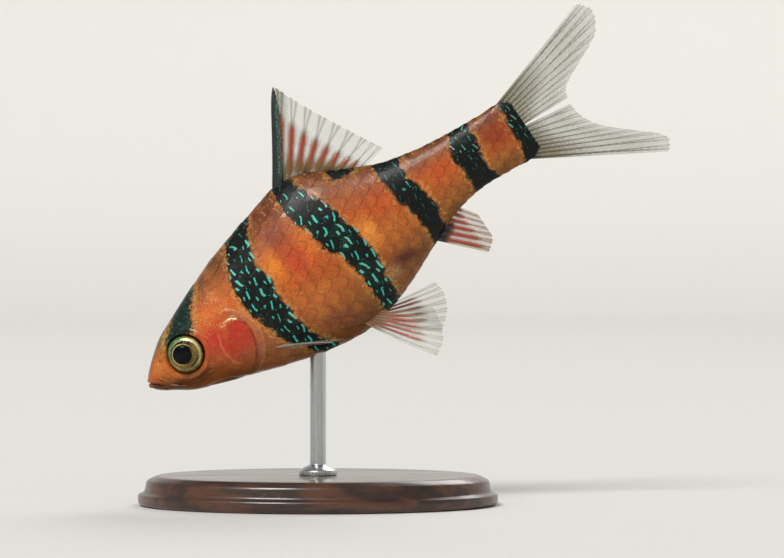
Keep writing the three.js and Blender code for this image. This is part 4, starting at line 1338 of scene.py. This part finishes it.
def layered(ground, *layers):
    """Colours built up from a ground: each layer is a colour and how much of it shows."""
    paint = np.tile(tone(ground), (len(layers[0][1]), 1))
    for code, share in layers:
        paint = laid(paint, code, np.clip(share, 0, 1))
    return paint


def streaks(part, way, reaches):
    """Streaks of colour on some rays: each reach is a ray's part, its start, its end and its width."""
    share = np.zeros(len(part))
    for middle, low, high, width in reaches:
        length = ease(way, low, low + 0.08) * ease(-way, -high, -high + 0.2)
        share = np.maximum(share, length * bell(part - middle, width))
    return share


def dorsal_paint(part, way, ray):
    """Tint and cover of the dorsal fin: red streaks, and a brown root with black spots."""
    red = streaks(part, way, [((i + 0.5) / 9, 0.14, 0.84 - 0.04 * i, 0.036) for i in range(8)])
    base = ease(-way, -0.44, -0.2)
    black = streaks(part, way, [(0.02, 0.02, 0.3, 0.08), (0.62, 0.02, 0.3, 0.07), (0.36, 0.02, 0.3, 0.03)])
    brown = ("#755824", 0.8 * base)
    tint = layered("#6f7150", ("#4e4026", ray * 0.7), ("#a83a22", red), brown, ("#100f0c", black))
    tip = streaks(part, way, [(0.06, 0.3, 1.3, 0.05)])
    return tint, 0.1 + 0.4 * ray * (1 - 0.5 * way) + 0.75 * red + 0.5 * base + 0.8 * black + 0.3 * tip


def tail_paint(part, way, ray):
    """Tint and cover of the tail fin: silky and clear, with banded rays and a brown root."""
    edge = ease(-part, -0.22, -0.02)
    bands = 0.82 + 0.18 * np.sin(way * 120 + 9 * part)
    base = ease(-way, -0.55, -0.02)
    silk = 0.5 + 0.5 * np.sin(part * 330 + 3 * np.sin(way * 5))
    rays = ("#3d3b22", ray * (0.75 + 0.25 * edge))
    root = ("#26271a", ease(-way, -0.12, -0.03))
    tint = layered("#72704a", rays, ("#6a5a34", 0.6 * base), root)
    cover = 0.2 + 0.12 * silk + 0.42 * base + (0.6 + 0.15 * edge) * ray * (1 - 0.5 * way) * bands
    return tint, cover * (1 - 0.4 * ease(way, 0.7, 1))


def anal_paint(part, way, ray):
    """Tint and cover of the anal fin: red streaks, a black corner at the root, a pale edge."""
    red = streaks(part, way, [((i + 0.5) / 6, 0.05, 0.95 - 0.1 * i, 0.06) for i in range(6)])
    black = ease(-way, -0.34, -0.22) * ease(-part, -0.6, -0.4)
    pale = ease(-part, -0.06, -0.02) * ease(way, 0.3, 0.5)
    tint = layered("#94622f", ("#6e4424", ray * 0.6), ("#9c3e1e", red), ("#100f0c", black), ("#cfcab2", pale))
    return tint, 0.3 - 0.14 * way + 0.35 * ray + 0.6 * red + 0.9 * black + 0.4 * pale


def pelvic_paint(part, way, ray):
    """Tint and cover of a pelvic fin: red streaks and a pale front edge."""
    red = streaks(part, way, [((i + 0.5) / 7, 0.15, 0.85 - 0.03 * i, 0.05) for i in range(1, 6)])
    pale = ease(-part, -0.08, -0.02)
    base = ease(-way, -0.3, -0.1)
    flesh_root = ("#8a5a34", 0.8 * base)
    tint = layered("#8c8a6c", ("#6e5f40", ray * 0.6), ("#a63a20", red), ("#d6d5c6", pale), flesh_root)
    return tint, 0.07 + 0.4 * ray * (1 - 0.6 * way) + 0.6 * red + 0.3 * pale + 0.5 * base


def pectoral_paint(part, way, ray):
    """Tint and cover of a pectoral fin: clear, with a pale front edge."""
    pale = ease(-part, -0.1, -0.02)
    base = ease(-way, -0.3, -0.06)
    tint = layered("#a39c88", ("#857a64", ray * 0.6), ("#e4e2d8", pale), ("#98563a", base))
    return tint, 0.05 + 0.22 * ray * (1 - 0.6 * way) + 0.2 * pale + 0.5 * base


def bowed(aside, up=0.0, fading=0.0):
    """How far a fin bows out between its root and its tips; the rise may fade towards its rear."""
    return lambda part: np.stack([0 * part, 0 * part + aside, up * (1 - fading * part)], -1)


class BARB_OT_fins(bpy.types.Operator):
    """Spread all seven fins"""

    bl_idname = "barb.fins"
    bl_label = "Fins"

    def execute(self, context):
        fin_material()
        top = straight(*DORSAL_ROOT, lambda s, part: (0 * s, station("back", s) - SINK))
        Fin(top, DORSAL_TIPS, bowed(-0.25), 9).build("dorsal_fin_web", "dorsal_fin", dorsal_paint)
        low = straight(*ANAL_ROOT, lambda s, part: (0 * s, station("belly", s) + SINK))
        Fin(low, ANAL_TIPS, bowed(0.15), 6, rows=40).build("anal_fin_web", "anal_fin", anal_paint)
        for word, upper in (("upper", True), ("lower", False)):
            root, tips = fork(upper)
            lobe = Fin(root, tips, bowed(-0.12), 9, split=0.3, fine=0.1, ridge=0.1, rows=90)
            lobe.build(f"tail_web_{word}", f"tail_fin_{word}", tail_paint)
        for word, side in SIDES.items():

            def breast(s, part, side=side):
                return side * (1.35 - 0.3 * part), station("belly", s) + 1

            root = straight(*PELVIC_ROOT, breast)
            pelvic = Fin(root, PELVIC_TIPS[word], bowed(-0.2 * side, -0.25, 1), 7, fine=0.12, rows=50)
            pelvic.build(f"pelvic_web_{word}", f"pelvic_fin_{word}", pelvic_paint)

            def flank(s, part, side=side):
                z = PECTORAL_HEIGHTS[0] + (PECTORAL_HEIGHTS[1] - PECTORAL_HEIGHTS[0]) * part
                return side * (half_width(s, z) - 0.8), z

            root, tips = straight(*PECTORAL_ROOT, flank), mirrored(PECTORAL_TIPS, side)
            pectoral = Fin(root, tips, bowed(0.15 * side, 0.2), 8, fine=0.1, rows=50)
            pectoral.build(f"pectoral_web_{word}", f"pectoral_fin_{word}", pectoral_paint)
        return {"FINISHED"}


class BARB_OT_spine(bpy.types.Operator):
    """Set the dorsal fin's stiff front spine, saw-edged behind"""

    bl_idname = "barb.spine"
    bl_label = "Dorsal spine"

    def execute(self, context):
        foot = Vector((DORSAL_ROOT[0], 0, float(station("back", np.array([DORSAL_ROOT[0]]))[0]) - SINK))
        tip = Vector(DORSAL_TIPS[0])
        bow = Vector((0.16, -0.25, 0))
        line = [foot.lerp(tip, t) + bow * 4 * t * (1 - t) for t in np.linspace(0, 0.985, 7)]

        def radius(way, turn):
            saw = ease(np.abs((way * 22) % 1 - 0.5), 0.1, 0.5) * ease(way, 0.35, 0.45)
            return (0.6 - 0.26 * way - 0.3 * way**9) * (1 + 0.3 * saw * np.clip(-np.cos(turn), 0, 1) ** 2)

        bm = rod(line, radius, 260, 32, flat=0.62)
        spine = finish_piece("dorsal_spine", bm, spine_material())
        way, turn = grid_of(spine.data)
        rear = ease(-np.cos(turn * 2 * math.pi), -0.2, 0.5)
        put(spine.data, "rear", rear * ease(way, 0.12, 0.22) * ease(-way, -0.97, -0.8))
        return {"FINISHED"}


# The stand.


BASE = {"length": 36, "width": 25, "height": 3}
# The base's rim, as inset and height, and the rod with its collar, as radius and height.
BASE_MOULDING = [(0.3, 0), (0, 0.3), (0, 1.15), (0.45, 1.4), (0.6, 2.5), (1.3, 3)]
ROD = [(0, 1.4), (0.8, 1.4), (0.8, 2.98), (1.9, 2.98), (1.9, 3.5), (1.3, 3.85), (0.8, 4.05), (0.8, 17.2)]
ROD += [(0, 17.2)]


def turned(profile, steps, stretch=(1, 1, 1)):
    """A turned solid: a profile of (radius, height) spun round the upright axis, in mm."""
    bm = bmesh.new()
    verts = [bm.verts.new((r, 0, z)) for r, z in profile]
    edges = [bm.edges.new(pair) for pair in zip(verts[:-1], verts[1:])]
    bmesh.ops.spin(
        bm, geom=verts + edges, cent=(0, 0, 0), axis=(0, 0, 1), angle=2 * math.pi, steps=steps, use_merge=True
    )
    bmesh.ops.remove_doubles(bm, verts=bm.verts, dist=1e-4)
    bmesh.ops.scale(bm, verts=bm.verts, vec=stretch)
    return bm


def moulding(corners, rounding=0.25, steps=5):
    """A profile's corners, each rounded off by a few short edges."""
    corners = [Vector(c) for c in corners]
    profile = [corners[0]]
    for before, corner, after in zip(corners[:-2], corners[1:-1], corners[2:]):
        cut = min(rounding, (before - corner).length / 2.2, (after - corner).length / 2.2)
        start = corner + (before - corner).normalized() * cut
        end = corner + (after - corner).normalized() * cut
        for i in range(steps + 1):
            t = i / steps
            profile.append(start * (1 - t) ** 2 + corner * 2 * t * (1 - t) + end * t**2)
    return [tuple(p) for p in profile + [corners[-1]]]


class BARB_OT_stand(bpy.types.Operator):
    """Turn the oval wooden base and the steel rod that holds the fish up"""

    bl_idname = "barb.stand"
    bl_label = "Stand"

    def execute(self, context):
        r = BASE["width"] / 2
        corners = [(0, 0), *((r - inset, z) for inset, z in BASE_MOULDING), (0, BASE["height"])]
        into = Matrix.Scale(MM, 4)
        oval = (BASE["length"] / BASE["width"], 1, 1)
        base = turned(moulding(corners), 160, oval)
        finish_piece("stand_oval_base", base, wood_material(), ("stand_base",), into)
        upright = turned(moulding(ROD, 0.12), 64)
        finish_piece("stand_steel_rod", upright, steel_material(), ("stand_rod",), into)
        return {"FINISHED"}


# Floor, lights and camera.


# The floor curves up into a wall all round: radius and height.
FLOOR = [(0, 0), (1500, 0), (1850, 60), (2100, 220), (2250, 480), (2300, 900), (2300, 1500)]
# Each lamp: the way it shines from, its spread in degrees, its strength and its colour.
LAMPS = {
    "key": ((-0.5, -0.9, 1.1), 20, 2.3, (1.0, 0.98, 0.95)),
    "fill": ((0.9, -0.8, 0.35), 40, 0.6, (0.94, 0.97, 1.0)),
    "back": ((0.5, 0.9, 0.9), 30, 1.0, (1.0, 0.99, 0.97)),
}
# The camera: the point it looks at, its distance, the width that it sees there and its sensor's width.
AIM = Vector((0.0074, 0, 0.0226))
VIEW_DISTANCE = 300
VIEW_WIDTH = 78.4
SENSOR = 36


class BARB_OT_stage(bpy.types.Operator):
    """Set the pale floor, the soft lights and the camera"""

    bl_idname = "barb.stage"
    bl_label = "Stage"

    def execute(self, context):
        scene = context.scene
        bm = turned(moulding(FLOOR, 200, 8), 96)
        bm.transform(Matrix.Scale(MM, 4))
        bmesh.ops.reverse_faces(bm, faces=bm.faces)
        smooth_object("floor", bm, paper_material())

        for name, (spot, spread, strength, colour) in LAMPS.items():
            lamp = bpy.data.lights.new(name, "SUN")
            lamp.angle = math.radians(spread)
            lamp.energy = strength
            lamp.color = colour
            lit = bpy.data.objects.new(name, lamp)
            lit.location = spot
            lit.rotation_euler = Vector(spot).to_track_quat("Z", "Y").to_euler()
            scene.collection.objects.link(lit)

        world = bpy.data.worlds.new("studio")
        world.use_nodes = True
        background = world.node_tree.nodes["Background"]
        background.inputs["Color"].default_value = (0.95, 0.97, 1, 1)
        background.inputs["Strength"].default_value = 0.3
        scene.world = world

        lens = bpy.data.cameras.new("view")
        lens.sensor_fit = "HORIZONTAL"
        lens.sensor_width = SENSOR
        lens.lens = SENSOR * VIEW_DISTANCE / VIEW_WIDTH
        lens.clip_start = 0.01
        lens.clip_end = 20
        camera = bpy.data.objects.new("view", lens)
        camera.location = (AIM.x, -VIEW_DISTANCE * MM, AIM.z)
        camera.rotation_euler = (math.pi / 2, 0, 0)
        scene.collection.objects.link(camera)
        scene.camera = camera
        scene.view_settings.view_transform = "Standard"
        return {"FINISHED"}


# Add-on.

STEPS = (
    BARB_OT_stage,
    BARB_OT_skin,
    BARB_OT_scales,
    BARB_OT_eyes,
    BARB_OT_barbels,
    BARB_OT_fins,
    BARB_OT_spine,
    BARB_OT_stand,
)


class BARB_PT_panel(bpy.types.Panel):
    """Sizes, colours and steps of the barb"""

    bl_idname = "BARB_PT_panel"
    bl_label = "Barb"
    bl_space_type = "VIEW_3D"
    bl_region_type = "UI"
    bl_category = "Barb"

    def draw(self, context):
        for group in (context.scene.barb_sizes, context.scene.barb_colours):
            for name in group.bl_rna.properties.keys():
                if name not in ("rna_type", "name"):
                    self.layout.prop(group, name)
        for step in STEPS:
            self.layout.operator(step.bl_idname)


CLASSES = (BarbSizes, BarbColours, *STEPS, BARB_PT_panel)


def register():
    for one in CLASSES:
        bpy.utils.register_class(one)
    bpy.types.Scene.barb_sizes = PointerProperty(type=BarbSizes)
    bpy.types.Scene.barb_colours = PointerProperty(type=BarbColours)


def unregister():
    del bpy.types.Scene.barb_colours
    del bpy.types.Scene.barb_sizes
    for one in reversed(CLASSES):
        bpy.utils.unregister_class(one)


def main():
    register()
    for step in STEPS:
        area, name = step.bl_idname.split(".")
        getattr(getattr(bpy.ops, area), name)()


if __name__ == "__main__":
    main()
